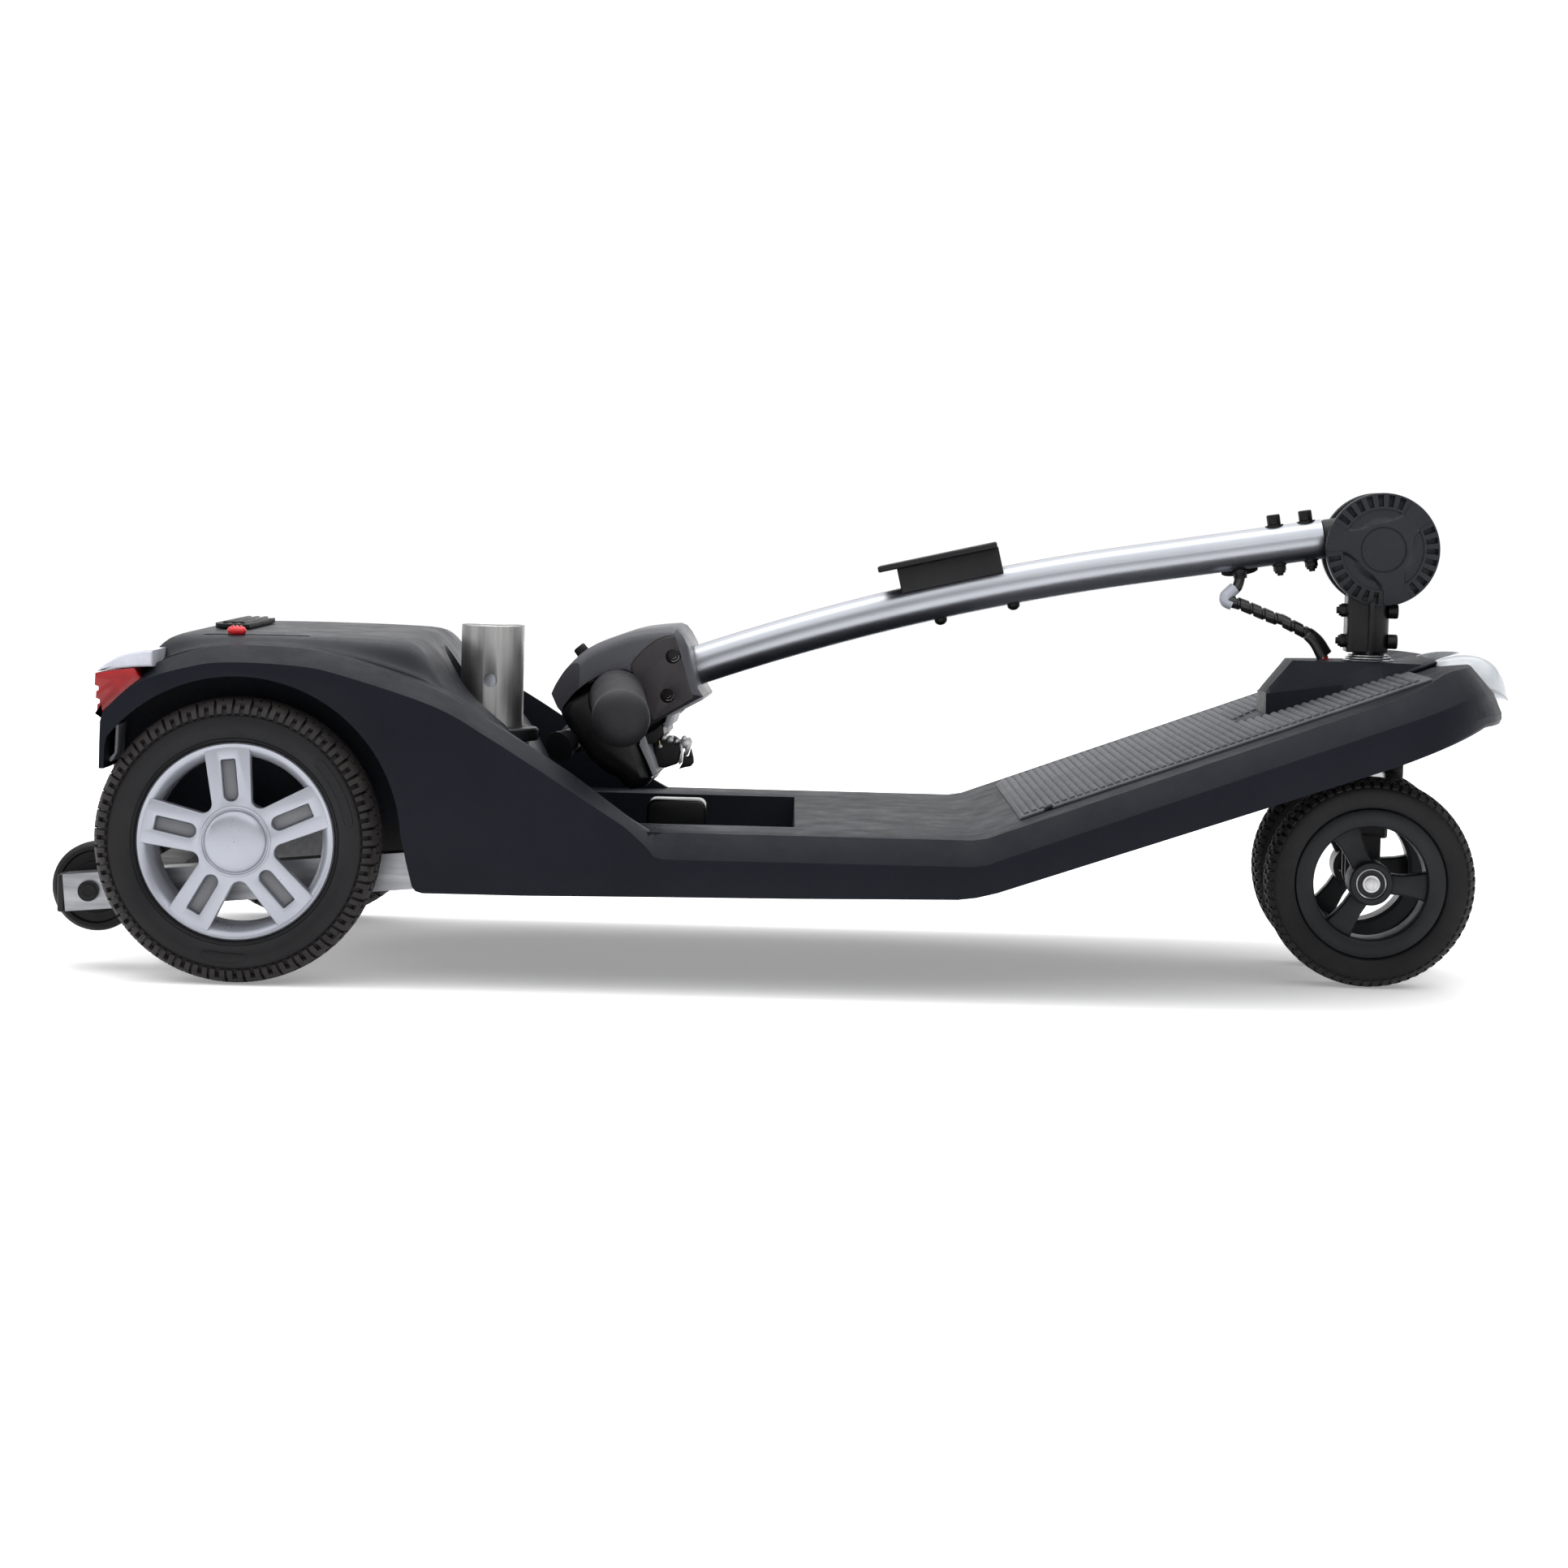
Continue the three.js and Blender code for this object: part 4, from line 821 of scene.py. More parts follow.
def rim_outline():
    """Plan of the spoke plate as (u, v) points: double spokes with round-ended windows between."""
    half_root, half_tip, reach, fillet, fillet_steps = 13.2, 15.2, 63.0, 6.0, 12
    half_step = SPOKE_STEP / 2
    centre = half_root / math.sin(half_step) + fillet / math.sin(half_step)
    spread = math.asin(half_tip / reach)
    opening = math.pi / 2 - half_step
    points = []
    for k in range(SPOKES):
        axis = SPOKE_TURN + SPOKE_STEP * k
        for t in (-1, -0.5, 0, 0.5, 1):
            points.append((reach * math.cos(axis + spread * t), reach * math.sin(axis + spread * t)))
        window = axis + half_step
        for j in range(fillet_steps, -1, -1):
            a = window + (math.pi - opening) + j / fillet_steps * 2 * opening
            points.append((centre * math.cos(window) + fillet * math.cos(a),
                           centre * math.sin(window) + fillet * math.sin(a)))
    return points


def rear_rim(hub, edge):
    """Barrel with its lip, and the spoke plate. edge is the side that the face looks to."""
    lip = [(66.0, 16.5), (65.6, 19.0), (64.6, 19.9), (63.4, 19.8), (61.0, 18.4), (58.6, 15.4), (57.0, 11.2),
           (56.2, 6.0), (56.0, 0.0), (56.0, -17.0), (60.0, -19.5), (66.0, -19.5), (66.0, -16.0),
           (60.5, -13.0), (60.5, 10.0)]
    barrel = revolved([(r, edge * y) for r, y in lip], hub, 128)
    face, back = hub[1] + edge * 19.4, hub[1] + edge * 9.0
    plate = prism([(hub[0] + u, hub[2] + v) for u, v in rim_outline()], *sorted((face, back)))
    w, slot_start, slot_end = 4.85, 31.4, 54.5
    slot = [(slot_end, w), (slot_start, w)]
    slot += [(slot_start - w * math.sin(rad(t)), w * math.cos(rad(t))) for t in range(20, 180, 20)]
    slot += [(slot_start, -w), (slot_end, -w)]
    floor = [(27.4, -4.0), (53.8, -4.0), (53.8, 4.6), (27.4, 4.6)]
    cutter, floors = Shape(), Shape()
    for k in range(SPOKES):
        cutter.join(prism(on_spoke(slot, hub, k), *sorted((face - edge * 6.0, face + edge * 3))))
        floors.join(prism(on_spoke(floor, hub, k), *sorted((face - edge * 6.2, face - edge * 4.9))))
    hub_tube = revolved([(0.5, edge * 18.0), (22.5, edge * 18.0), (24.5, edge * 16.0), (24.5, edge * -14.0),
                         (12.0, edge * -24.0), (0.5, edge * -24.0)], hub, 64)
    return barrel, plate, cutter, hub_tube, floors


def make_rear_wheels():
    for side, name in SIDES:
        hub = np.array([REAR_HUB[0], side * REAR_Y, REAR_HUB[2]])
        body = "rear_wheel_" + name
        build("rear_tyre_carcass_" + name, rear_tyre(hub), TYRE, body, ("rear_tyre_" + name,), smooth=50)
        build("rear_tyre_tread_" + name, rear_tread(hub), TREAD, body, bevel=0.35, segments=1, smooth=40)
        build("rear_tyre_marks_" + name, moulded_marks(hub, side), TYRE, body, smooth=50)
        barrel, plate, cutter, hub_tube, floors = rear_rim(hub, side)
        build("rear_rim_barrel_" + name, barrel, RIM_SILVER, body, ("rear_rim_" + name,), smooth=40)
        build("rear_rim_spokes_" + name, plate, RIM_SILVER, body, cutters=(cutter,), bevel=0.9, segments=3,
              smooth=35)
        build("rear_rim_hub_" + name, hub_tube, RIM_SILVER, body, smooth=40)
        build("rear_rim_slot_floor_" + name, floors, SLOT_GREY, body, bevel=0.3, segments=2)
        cap = [(0.3, 24.9), (6.0, 24.8), (12.0, 24.3), (17.0, 23.2), (19.6, 22.0), (20.7, 20.6),
               (20.9, 19.0), (21.7, 19.0), (21.9, 20.4), (22.6, 20.8), (23.4, 20.4), (23.8, 19.0),
               (23.8, 18.2), (0.3, 18.2)]
        build("hub_cap_dome_" + name, revolved([(r, side * y) for r, y in cap], hub, 96), RIM_SILVER, body,
              ("hub_cap_" + name,), smooth=40)


FRONT_SECTION = [(52.5, 17.5), (53.4, 19.4), (57.0, 20.8), (62.0, 21.6), (66.5, 21.2), (69.4, 18.6),
                 (71.4, 12.5), (72.0, 6.0), (72.1, 0.0)]
FRONT_SHOULDER = [(66.6, 21.2), (69.2, 18.8), (70.9, 14.6), (71.7, 9.0), (72.0, 4.5), (72.1, 0.8)]
FRONT_LUGS = 66
FRONT_LIFT = 1.4
FRONT_BLOCKS = ((0.06, 0.34, 0.00, 0.62), (0.38, 0.66, 0.35, 0.95), (0.72, 0.99, 0.00, 0.62))


def front_tread(hub):
    shape = Shape()
    surface = section_surface(FRONT_SHOULDER)
    pitch = TAU / FRONT_LUGS
    for edge in (-1, 1):
        for k in range(FRONT_LUGS):
            a = (k + (0.5 if edge > 0 else 0.0)) * pitch
            for s0, s1, from_pitch, to_pitch in FRONT_BLOCKS:
                shape.join(tread_patch(hub, surface, FRONT_LIFT, s0, s1, a + from_pitch * pitch,
                                       a + to_pitch * pitch, edge, 2))
    return shape


def front_rim(hub, edge):
    flange = [(52.4, 17.0), (51.8, 18.4), (50.5, 18.9), (42.5, 18.5), (40.4, 17.6), (39.6, 15.6),
              (39.2, 8.0), (39.2, -15.0), (42.0, -17.0), (52.4, -17.0), (52.4, -12.0), (43.5, -10.0),
              (43.5, 10.0), (52.4, 13.0)]
    shape = revolved([(r, edge * y) for r, y in flange], hub, 112)
    blades = Shape()
    for degrees in (117.0, 237.0, 357.0):
        axis = rad(degrees)
        c, s = math.cos(axis), math.sin(axis)
        outline = [(9.0, -7.0), (22.0, -7.0), (31.0, -8.2), (41.5, -10.8), (41.5, 10.8), (31.0, 8.2),
                   (22.0, 7.0), (9.0, 7.0)]
        outline = [(hub[0] + u * c - v * s, hub[2] + u * s + v * c) for u, v in outline]
        low, high = sorted((hub[1] + edge * 12.5, hub[1] - edge * 3.0))
        blades.join(prism(outline, low, high))
    hub_ring = [(11.2, 20.5), (14.2, 20.5), (15.2, 19.5), (15.6, 8.0), (15.2, -16.0), (11.2, -16.5)]
    hubs = revolved([(r, edge * y) for r, y in hub_ring], hub, 64)
    return shape, blades, hubs


def make_front_wheels():
    for side, name in SIDES:
        hub = np.array([STEER_X, side * FRONT_Y, FRONT_R])
        body = "front_wheel_" + name
        tyre = tyre_ring(hub, FRONT_SECTION, 51.5, 16.0, 128)
        build("front_tyre_carcass_" + name, tyre, TYRE, body, ("front_tyre_" + name,), smooth=50)
        build("front_tyre_tread_" + name, front_tread(hub), TREAD, body, bevel=0.25, segments=1)
        flange, blades, hubs = front_rim(hub, side)
        build("front_rim_flange_" + name, flange, FRONT_RIM, body, ("front_rim_" + name,))
        build("front_rim_blades_" + name, blades, FRONT_RIM, body, bevel=1.4, segments=3)
        build("front_rim_hub_" + name, hubs, FRONT_RIM, body)
        bearing = revolved([(9.6, side * 19.4), (10.4, side * 19.9), (11.1, side * 19.4),
                            (11.1, side * 15.0), (9.6, side * 15.0)], hub, 64)
        build("front_bearing_ring_" + name, bearing, STEEL, body)
        shield = revolved([(5.6, side * 18.6), (7.2, side * 18.2), (9.5, side * 18.6), (9.5, side * 15.0),
                           (5.6, side * 15.0)], hub, 64)
        build("front_bearing_shield_" + name, shield, BLACK, body)
        tip = hub + np.array([0, side * 21.5, 0])
        root = hub + np.array([0, side * 12.0, 0])
        build("front_axle_tip_" + name, rod(root, tip, 4.9, 4.4, 32, rings=((0.82, 4.9),)), STEEL,
              "steering_column", bevel=0.4)


def make_anti_tip():
    x, z = ANTI_TIP[0], ANTI_TIP[2]
    for side, name in SIDES:
        hub = np.array([x, side * abs(ANTI_TIP[1]), z])
        r = 30.5
        half = 9.6
        profile = [(5.5, half - 1.2), (9.5, half), (17.0, half), (18.0, half - 2.2), (24.0, half - 2.2),
                   (25.2, half - 0.2), (27.6, half), (29.6, half - 1.6), (r, half - 4.4), (r, 0.0)]
        full = profile + [(a, -b) for a, b in reversed(profile[:-1])]
        build("anti_tip_tyre_" + name, revolved(full, hub, 96), TYRE, "anti_tip_wheel_" + name,
              ("anti_tip_wheel_" + name,), smooth=40)
        outer = side * 170.4
        head = rod((x, side * 169.7, z), (x, outer + side * 3.6, z), 6.7, 5.8, 40, rings=((0.72, 6.7),))
        socket = rod((x, outer + side * 1.4, z), (x, outer + side * 6.0, z), 3.0, 3.0, 6)
        build("anti_tip_bolt_head_" + name, head, STEEL_BLACK, "chassis", cutters=(socket,), bevel=0.35)
        low, high = on_side(side, 144.9, 169.1)
        plug = block(-496.6, -491.6, low, high, z - 15.2, z + 10.6)
        build("rail_end_plug_" + name, plug, BLACK, "chassis", bevel=1.6, segments=3)


# ---------------------------------------------------------------- more shape helpers
def inset_outline(outline, inset):
    """The same outline moved inwards along its own mitred normals."""
    count = len(outline)
    area = sum(outline[k][0] * outline[(k + 1) % count][1] - outline[(k + 1) % count][0] * outline[k][1]
               for k in range(count))
    sign = math.copysign(1, area)
    moved = []
    for k in range(count):
        p, q, r = (np.array(outline[(k + step) % count], float) for step in (-1, 0, 1))
        a, b = (q - p) / np.linalg.norm(q - p), (r - q) / np.linalg.norm(r - q)
        na, nb = np.array([-a[1], a[0]]) * sign, np.array([-b[1], b[0]]) * sign
        mitre = na + nb
        moved.append(tuple(q + mitre * inset / max(float(mitre @ na), 0.6)))
    return moved


def rounded_prism(outline, low, high, radius, plane="xz", steps=4):
    """A prism whose two end faces have rounded edges."""
    place = PLACES[plane]
    levels = [(radius * (1 - math.sin(k / steps * math.pi / 2)),
               low + radius * (1 - math.cos(k / steps * math.pi / 2))) for k in range(steps + 1)]
    levels += [(inset, low + high - w) for inset, w in reversed(levels)]
    return capped([[place(u, v, w) for u, v in inset_outline(outline, inset)] for inset, w in levels])


def stadium(x0, x1, y0, y1, steps=8):
    """A slot outline with round ends along its longer side."""
    r = min(x1 - x0, y1 - y0) / 2
    if x1 - x0 > y1 - y0:
        return arc(x1 - r, (y0 + y1) / 2, r, -90, 90, steps) + arc(x0 + r, (y0 + y1) / 2, r, 90, 270, steps)
    return arc((x0 + x1) / 2, y1 - r, r, 0, 180, steps) + arc((x0 + x1) / 2, y0 + r, r, 180, 360, steps)


def rounded_box(x0, x1, y0, y1, z0, z1, corner, edge, plane="xy"):
    """A block with round corners in the plane and rounded end faces."""
    lows, highs = {"xy": ((x0, y0, z0), (x1, y1, z1)), "xz": ((x0, z0, y0), (x1, z1, y1)),
                   "yz": ((y0, z0, x0), (y1, z1, x1))}[plane]
    u0, v0, w0 = lows
    u1, v1, w1 = highs
    outline = (arc(u1 - corner, v0 + corner, corner, -90, 0, 4)
               + arc(u1 - corner, v1 - corner, corner, 0, 90, 4)
               + arc(u0 + corner, v1 - corner, corner, 90, 180, 4)
               + arc(u0 + corner, v0 + corner, corner, 180, 270, 4))
    return rounded_prism(outline, w0, w1, edge, plane, 3)


def path_frames(points):
    """Position, side and up directions along a path, carried without spinning."""
    pts = [Vector(p) for p in points]
    side = (pts[1] - pts[0]).normalized().orthogonal().normalized()
    frames = []
    for k, p in enumerate(pts):
        t = (pts[min(k + 1, len(pts) - 1)] - pts[max(k - 1, 0)]).normalized()
        side = (side - t * side.dot(t)).normalized()
        frames.append((p, side, t.cross(side), t))
    return frames


COIL_INNER, COIL_OUTER, COIL_HALF_WIDTH, COIL_PITCH, COIL_STEPS = 3.1, 4.4, 4.1, 9.5, 20


def ribbon_coil(points):
    """The cable's spiral wrap: a flat ribbon wound round a path."""
    line = [Vector(p) for p in points]
    marks = [0.0]
    for a, b in zip(line, line[1:]):
        marks.append(marks[-1] + (b - a).length)
    frames = path_frames(line)
    axes = np.array([[*p, *s, *u, *t] for p, s, u, t in frames])
    count = int(marks[-1] / COIL_PITCH * COIL_STEPS)
    rows = []
    for k in range(count + 1):
        at = marks[-1] * k / count
        f = np.array([np.interp(at, marks, axes[:, c]) for c in range(12)])
        p, s, u, t = f[:3], f[3:6], f[6:9], f[9:]
        angle = at / COIL_PITCH * TAU
        out = s * math.cos(angle) + u * math.sin(angle)
        profile = ((COIL_INNER, -1), (COIL_OUTER, -0.8), (COIL_OUTER, 0.8), (COIL_INNER, 1))
        rows.append([p + out * r + t * (COIL_HALF_WIDTH * share) for r, share in profile])
    return capped(rows)


def cap_screw(shape_list, foot, out, head_r, head_h, washer=True):
    """A socket head screw: its washer goes to shape_list, and (head, socket tool) come back."""
    foot, out = Vector(foot), Vector(out).normalized()
    base = foot + out * (1.2 if washer else 0.0)
    if washer:
        shape_list.append(rod(foot - out * 2, base, head_r * 1.36, head_r * 1.36, 32,
                              rings=((0.8, head_r * 1.36),)))
    head = rod(base - out * 0.4, base + out * head_h, head_r, head_r * 0.9, 32, rings=((0.88, head_r),))
    socket = rod(base + out * head_h * 0.4, base + out * (head_h + 2), head_r * 0.52, head_r * 0.52, 6)
    return head, socket


def lock_nut(foot, out, size):
    """Hexagonal nut with its nylon collar, its washer and the end of the thread."""
    foot, out = Vector(foot), Vector(out).normalized()
    shape = rod(foot - out * 1.5, foot + out * 1.1, size * 1.22, size * 1.22, 32)
    shape.join(rod(foot + out * 1.0, foot + out * 5.0, size, size, 6,
                   rings=((0.12, size * 1.05), (0.88, size * 1.05))))
    shape.join(rod(foot + out * 4.9, foot + out * 6.6, size * 0.86, size * 0.80, 32,
                   rings=((0.1, size * 0.88), (0.8, size * 0.86))))
    shape.join(rod(foot + out * 6.5, foot + out * 8.3, size * 0.52, size * 0.46, 20,
                   rings=((0.7, size * 0.52),)))
    return shape


# ---------------------------------------------------------------- tiller and fold joint
TUBE_R = 14.0
TUBE_END = np.array([376.0, 0.0, 312.0])
TUBE_SLOPE = rad(9.3)
TUBE_STRAIGHT = 140.0       # length of the straight front stretch
TUBE_ARC = 1750.0           # radius of the bow behind it
TUBE_LENGTH = 481.0
TUBE_FRONT = 5.0            # where the bare tube starts, behind the hinge plug
CLAMP_SCREWS = (38.0, 15.4)       # distances along the tube
DOME_SCREWS = (230.0, 283.5)


def tube_at(distance):
    """Centre and upward normal of the tiller tube, by distance from its front end."""
    angle = TUBE_SLOPE + max(distance - TUBE_STRAIGHT, 0.0) / TUBE_ARC
    straight = min(distance, TUBE_STRAIGHT)
    x = TUBE_END[0] - straight * math.cos(TUBE_SLOPE) - TUBE_ARC * (math.sin(angle) - math.sin(TUBE_SLOPE))
    z = TUBE_END[2] - straight * math.sin(TUBE_SLOPE) + TUBE_ARC * (math.cos(angle) - math.cos(TUBE_SLOPE))
    return Vector((x, 0, z)), Vector((-math.sin(angle), 0, math.cos(angle)))


def make_tiller_tube():
    outer = [tube_at(TUBE_FRONT + (TUBE_LENGTH - TUBE_FRONT) * k / 60)[0] for k in range(61)]
    wall = swept(outer, TUBE_R, 56)
    bore = swept([tube_at(-3 + (TUBE_LENGTH + 6) * k / 60)[0] for k in range(61)], TUBE_R - 2, 40)
    build("tiller_tube_drawn", wall, ANODISED, "tiller", ("tiller_tube",), cutters=(bore,), bevel=0.5,
          smooth=30)

    washers, screws, tools, nuts = [], Shape(), Shape(), Shape()
    for distance in CLAMP_SCREWS:
        centre, up = tube_at(distance)
        head, socket = cap_screw(washers, centre + up * (TUBE_R - 0.6), up, 4.85, 7.4)
        screws.join(head)
        tools.join(socket)
        nuts.join(lock_nut(centre - up * (TUBE_R - 0.6), -up, 4.4))
    for washer in washers:
        nuts.join(washer)
    build("tube_clamp_screws", screws, STEEL_BLACK, "tiller", cutters=(tools,), bevel=0.35)
    build("tube_clamp_nuts", nuts, STEEL_BLACK, "tiller", bevel=0.3)

    domes = Shape()
    for distance in DOME_SCREWS:
        centre, up = tube_at(distance)
        foot = centre - up * (TUBE_R - 1.0)
        domes.join(rod(foot, foot - up * 5.2, 4.6, 1.6, 32, rings=((0.42, 4.6), (0.62, 4.2), (0.82, 3.2))))
    build("bracket_dome_screws", domes, STEEL_BLACK, "tiller", bevel=0.2)

    near, far = tube_at(306.0), tube_at(224.0)
    along = (far[0] - near[0]).normalized()
    up = Vector((-along.z, 0, along.x))

    def beam(from_s, to_s, low, high):
        corners = ((from_s, low), (to_s, low), (to_s, high), (from_s, high))
        return [(near[0] + along * s + up * h).xz for s, h in corners]

    foot_block = rounded_prism(beam(-0.5, 73.5, TUBE_R - 4.5, 28.5), -11.5, 11.5, 1.4)
    groove = swept([tube_at(200 + 130 * k / 12)[0] for k in range(13)], TUBE_R + 0.1, 40)
    build("bracket_foot", foot_block, BLACK, "tiller", cutters=(groove,), bevel=0.9, segments=3)
    plate = rounded_prism(beam(-13.5, 73.0, 28.0, 32.4), -23.5, 23.5, 1.2)
    build("bracket_plate", plate, BLACK, "tiller", ("tube_bracket",), bevel=1.6, segments=4)


def make_hinge():
    centre, _ = tube_at(TUBE_FRONT - 0.4)
    inner, _ = tube_at(30.0)
    outer, _ = tube_at(-11.0)
    collar = rod(inner, centre, TUBE_R - 2.4, TUBE_R - 2.4, 48)
    collar.join(rod(centre, outer, TUBE_R - 0.9, TUBE_R - 0.9, 56,
                    rings=((0.08, TUBE_R - 0.3), (0.92, TUBE_R - 0.3))))
    build("hinge_collar", collar, BLACK, "tiller", ("hinge_plug",), bevel=0.3)
    x, z = FOLD[0], FOLD[2]
    arm = [(outer.x - 5, outer.z - 13.0), (x - 10, z - 26.5), *arc(x, z, 27.5, -80, 90, 22),
           (outer.x - 5, outer.z + 12.5)]
    arms = Shape()
    for side in (RIGHT, LEFT):
        low, high = on_side(side, 12.4, 17.0)
        arms.join(rounded_prism(arm, low, high, 0.8))
    hole = rod((x, -40, z), (x, 40, z), 5.3)
    build("hinge_arms", arms, BLACK, "tiller", cutters=(hole,), bevel=0.5)
    for side, name in SIDES:
        build("fold_disc_" + name, fold_disc(side), DISC, "tiller", ("fold_cover_" + name,), smooth=38)


DISC_R = 40.0
DISC_FACE = 30.2
DISC_BACK = 17.3
BOSS_R = 15.2                         # flat round middle of the cover
GROOVE_R = 16.2                       # outer edge of the groove round it
HOLLOW_INNER, HOLLOW_OUTER = 18.4, 28.6
SLOT_INNER, SLOT_OUTER, SLOT_WALL = 30.4, 38.6, 0.1
VENTS = ((61.0, 153.0), (183.0, 272.0), (301.0, 393.0))      # each vent's first and last degree
VENT_SLOTS = 7


def disc_height(r, degrees):
    """How far the cover's face lies below its highest plane."""
    if r < BOSS_R:
        return 0.5
    if r < GROOVE_R:
        return 1.3
    crown = 2.0 * ((r - GROOVE_R) / 24.0) ** 2
    if r < HOLLOW_INNER:
        return crown
    for start, end in VENTS:
        for turn in (0, 360):
            inside = min(degrees + turn - start, end - degrees - turn)
            if inside <= 0:
                continue
            if r < HOLLOW_OUTER:
                reach = (r - HOLLOW_INNER) / (HOLLOW_OUTER - HOLLOW_INNER)
                edge = 26.0 * (1 - reach) ** 2
                depth = np.clip((inside - edge) / 7.0, 0, 1)
                return crown + 2.3 * depth * depth * (3 - 2 * depth) * min(reach * 2.2, 1.0)
            step = (end - start) / (2 * VENT_SLOTS + 1)
            cell = (degrees + turn - start) / step
            in_slot = int(cell) % 2 == 1 and SLOT_INNER < r < SLOT_OUTER
            return crown + (6.5 if in_slot else 1.1)
    return crown


def fold_disc(side):
    radii = [0.0, 8.0, 15.1, 15.3, 16.1, 16.3, 17.4, 18.3]
    radii += [18.5 + k * 10.0 / 12 for k in range(13)] + [28.7, 29.6]
    for edge in (SLOT_INNER, SLOT_OUTER):
        radii += [edge - SLOT_WALL / 2, edge + SLOT_WALL / 2]
    radii = sorted(radii + [33, 36, 39.3])
    degrees = set(float(d) for d in range(0, 360, 2))
    for start, end in VENTS:
        step = (end - start) / (2 * VENT_SLOTS + 1)
        for k in range(2 * VENT_SLOTS + 2):
            for shift in (-0.12, 0.12):
                degrees.add(round((start + k * step + shift) % 360, 4))
    degrees = sorted(degrees)
    rows = []
    for d in degrees:
        a = rad(d)
        column = [(r, DISC_FACE - disc_height(r, d)) for r in radii]
        column += [(DISC_R - 0.2, DISC_FACE - 2.9), (DISC_R, DISC_FACE - 3.6), (DISC_R, DISC_BACK + 0.8),
                   (DISC_R - 0.8, DISC_BACK), (0.0, DISC_BACK)]
        rows.append([(FOLD[0] + max(r, 0.01) * math.cos(a), side * y, FOLD[2] + max(r, 0.01) * math.sin(a))
                     for r, y in column])
    return lattice(rows, close_u=True, close_v=True)


# ---------------------------------------------------------------- stem, clamp and cable
def make_stem():
    stem = rod((STEER_X, 0, 130.4), (STEER_X, 0, 262), 11, 10.4, 56, rings=((0.005, 11.0), (0.992, 11.0)))
    build("stem_ground", stem, STEEL, "steering_column", ("steering_stem",))
    washers = Shape()
    for low, high, r in ((225.4, 226.6, 18.2), (226.8, 228.4, 16.4), (228.6, 230.0, 14.6)):
        profile = [(11.3, low), (r - 0.5, low), (r, low + 0.4), (r, high - 0.4), (r - 0.5, high),
                   (11.3, high)]
        washers.join(upright(profile, STEER_X, 72))
    build("headset_washers", washers, STEEL, "chassis", ("headset_bearing",), smooth=30)

    left, right, front, back = STEER_X - 17.6, STEER_X + 12.4, -24.5, 15.5
    plan = (arc(right - 11, front + 11, 11.0, -90, 0, 12) + arc(right - 9, back - 9, 9.0, 0, 90, 8)
            + arc(left + 9, back - 9, 9.0, 90, 180, 8) + arc(left + 3, front + 3, 3.0, 180, 270, 4))
    sleeve = rounded_prism(plan, 232.0, 272.0, 0.9, "xy")
    x, z = FOLD[0], FOLD[2]
    tongue = [(left + 0.6, 262.0), (right - 0.6, 262.0), (x + 20, z - 12), *arc(x, z, 23.6, -30, 210, 30),
              (x - 20, z - 12)]
    sleeve.join(rounded_prism(tongue, -11.9, 11.9, 0.8))
    tools = rod((STEER_X, 0, 220), (STEER_X, 0, 262.6), 11.35, 11.35, 40)
    slit = block(STEER_X - 3.2, STEER_X - 0.4, -40, -8, 231.0, 268.0)
    pin_hole = rod((x, -20, z), (x, 20, z), 5.4)
    build("clamp_body", sleeve, BLACK, "steering_column", ("stem_clamp",), cutters=(tools, slit, pin_hole),
          bevel=0.5, smooth=34)
    spacer = rounded_box(STEER_X - 3.1, STEER_X - 0.5, -23.6, -9.0, 232.6, 271.0, 0.5, 0.3)
    build("clamp_slit_spacer", spacer, SLOT_GREY, "steering_column", slot="raw_steel", bevel=0.2)
    heads, sockets, nuts, washer_list = Shape(), Shape(), Shape(), []
    for z_bolt in (261.5, 240.0):
        head, socket = cap_screw(washer_list, (right - 0.6, -18.0, z_bolt), (1, 0, 0), 5.2, 6.6, washer=False)
        heads.join(head)
        sockets.join(socket)
        nuts.join(lock_nut((left + 0.7, -18.0, z_bolt), (-1, 0, 0), 4.6))
    build("clamp_screws", heads, STEEL_BLACK, "steering_column", cutters=(sockets,), bevel=0.35)
    build("clamp_nuts", nuts, STEEL_BLACK, "steering_column", bevel=0.3)
    pin = rod((x, -17.1, z), (x, 17.1, z), 4.9, 4.9, 32, rings=((0.03, 4.98), (0.97, 4.98)))
    build("fold_pin_ground", pin, STEEL, "steering_column", ("fold_pin",))


def make_fork():
    """Steel head block under the stem, with a leg each side down to the axle."""
    half, crown_low, crown_high, leg_half = 17.0, 100.0, 130.0, 12.2
    crown = rounded_box(STEER_X - half, STEER_X + half, -half, half, crown_low, crown_high, 4.0, 1.6)
    legs = Shape()
    outline = [(STEER_X + leg_half, crown_low + 4), (STEER_X - leg_half, crown_low + 4)]
    outline += arc(STEER_X, FRONT_R, leg_half, 180, 360, 24)
    for side in (RIGHT, LEFT):
        low, high = on_side(side, 9.0, half)
        legs.join(rounded_prism(outline, low, high, 1.0))
    axle_hole = rod((STEER_X, -30, FRONT_R), (STEER_X, 30, FRONT_R), 6.3, 6.3, 40)
    build("fork_crown", crown, BLACK_PAINT, "steering_column", ("fork_carrier",), bevel=0.5)
    build("fork_legs", legs, BLACK_PAINT, "steering_column", cutters=(axle_hole,), bevel=0.5)
    weld = upright([(11.2, 129.6), (15.6, 129.6), (15.0, 131.2), (12.6, 132.6), (11.2, 133.0)], STEER_X, 64)
    build("fork_weld", weld, BLACK_PAINT, "steering_column", smooth=50)
    washers = []
    head, socket = cap_screw(washers, (STEER_X + 16.8, 0, 114.0), (1, 0, 0), 4.4, 5.4)
    build("fork_pinch_screw", head, STEEL_BLACK, "steering_column", cutters=(socket,), bevel=0.3)
    build("fork_pinch_washer", washers[0], STEEL_BLACK, "steering_column", bevel=0.2)


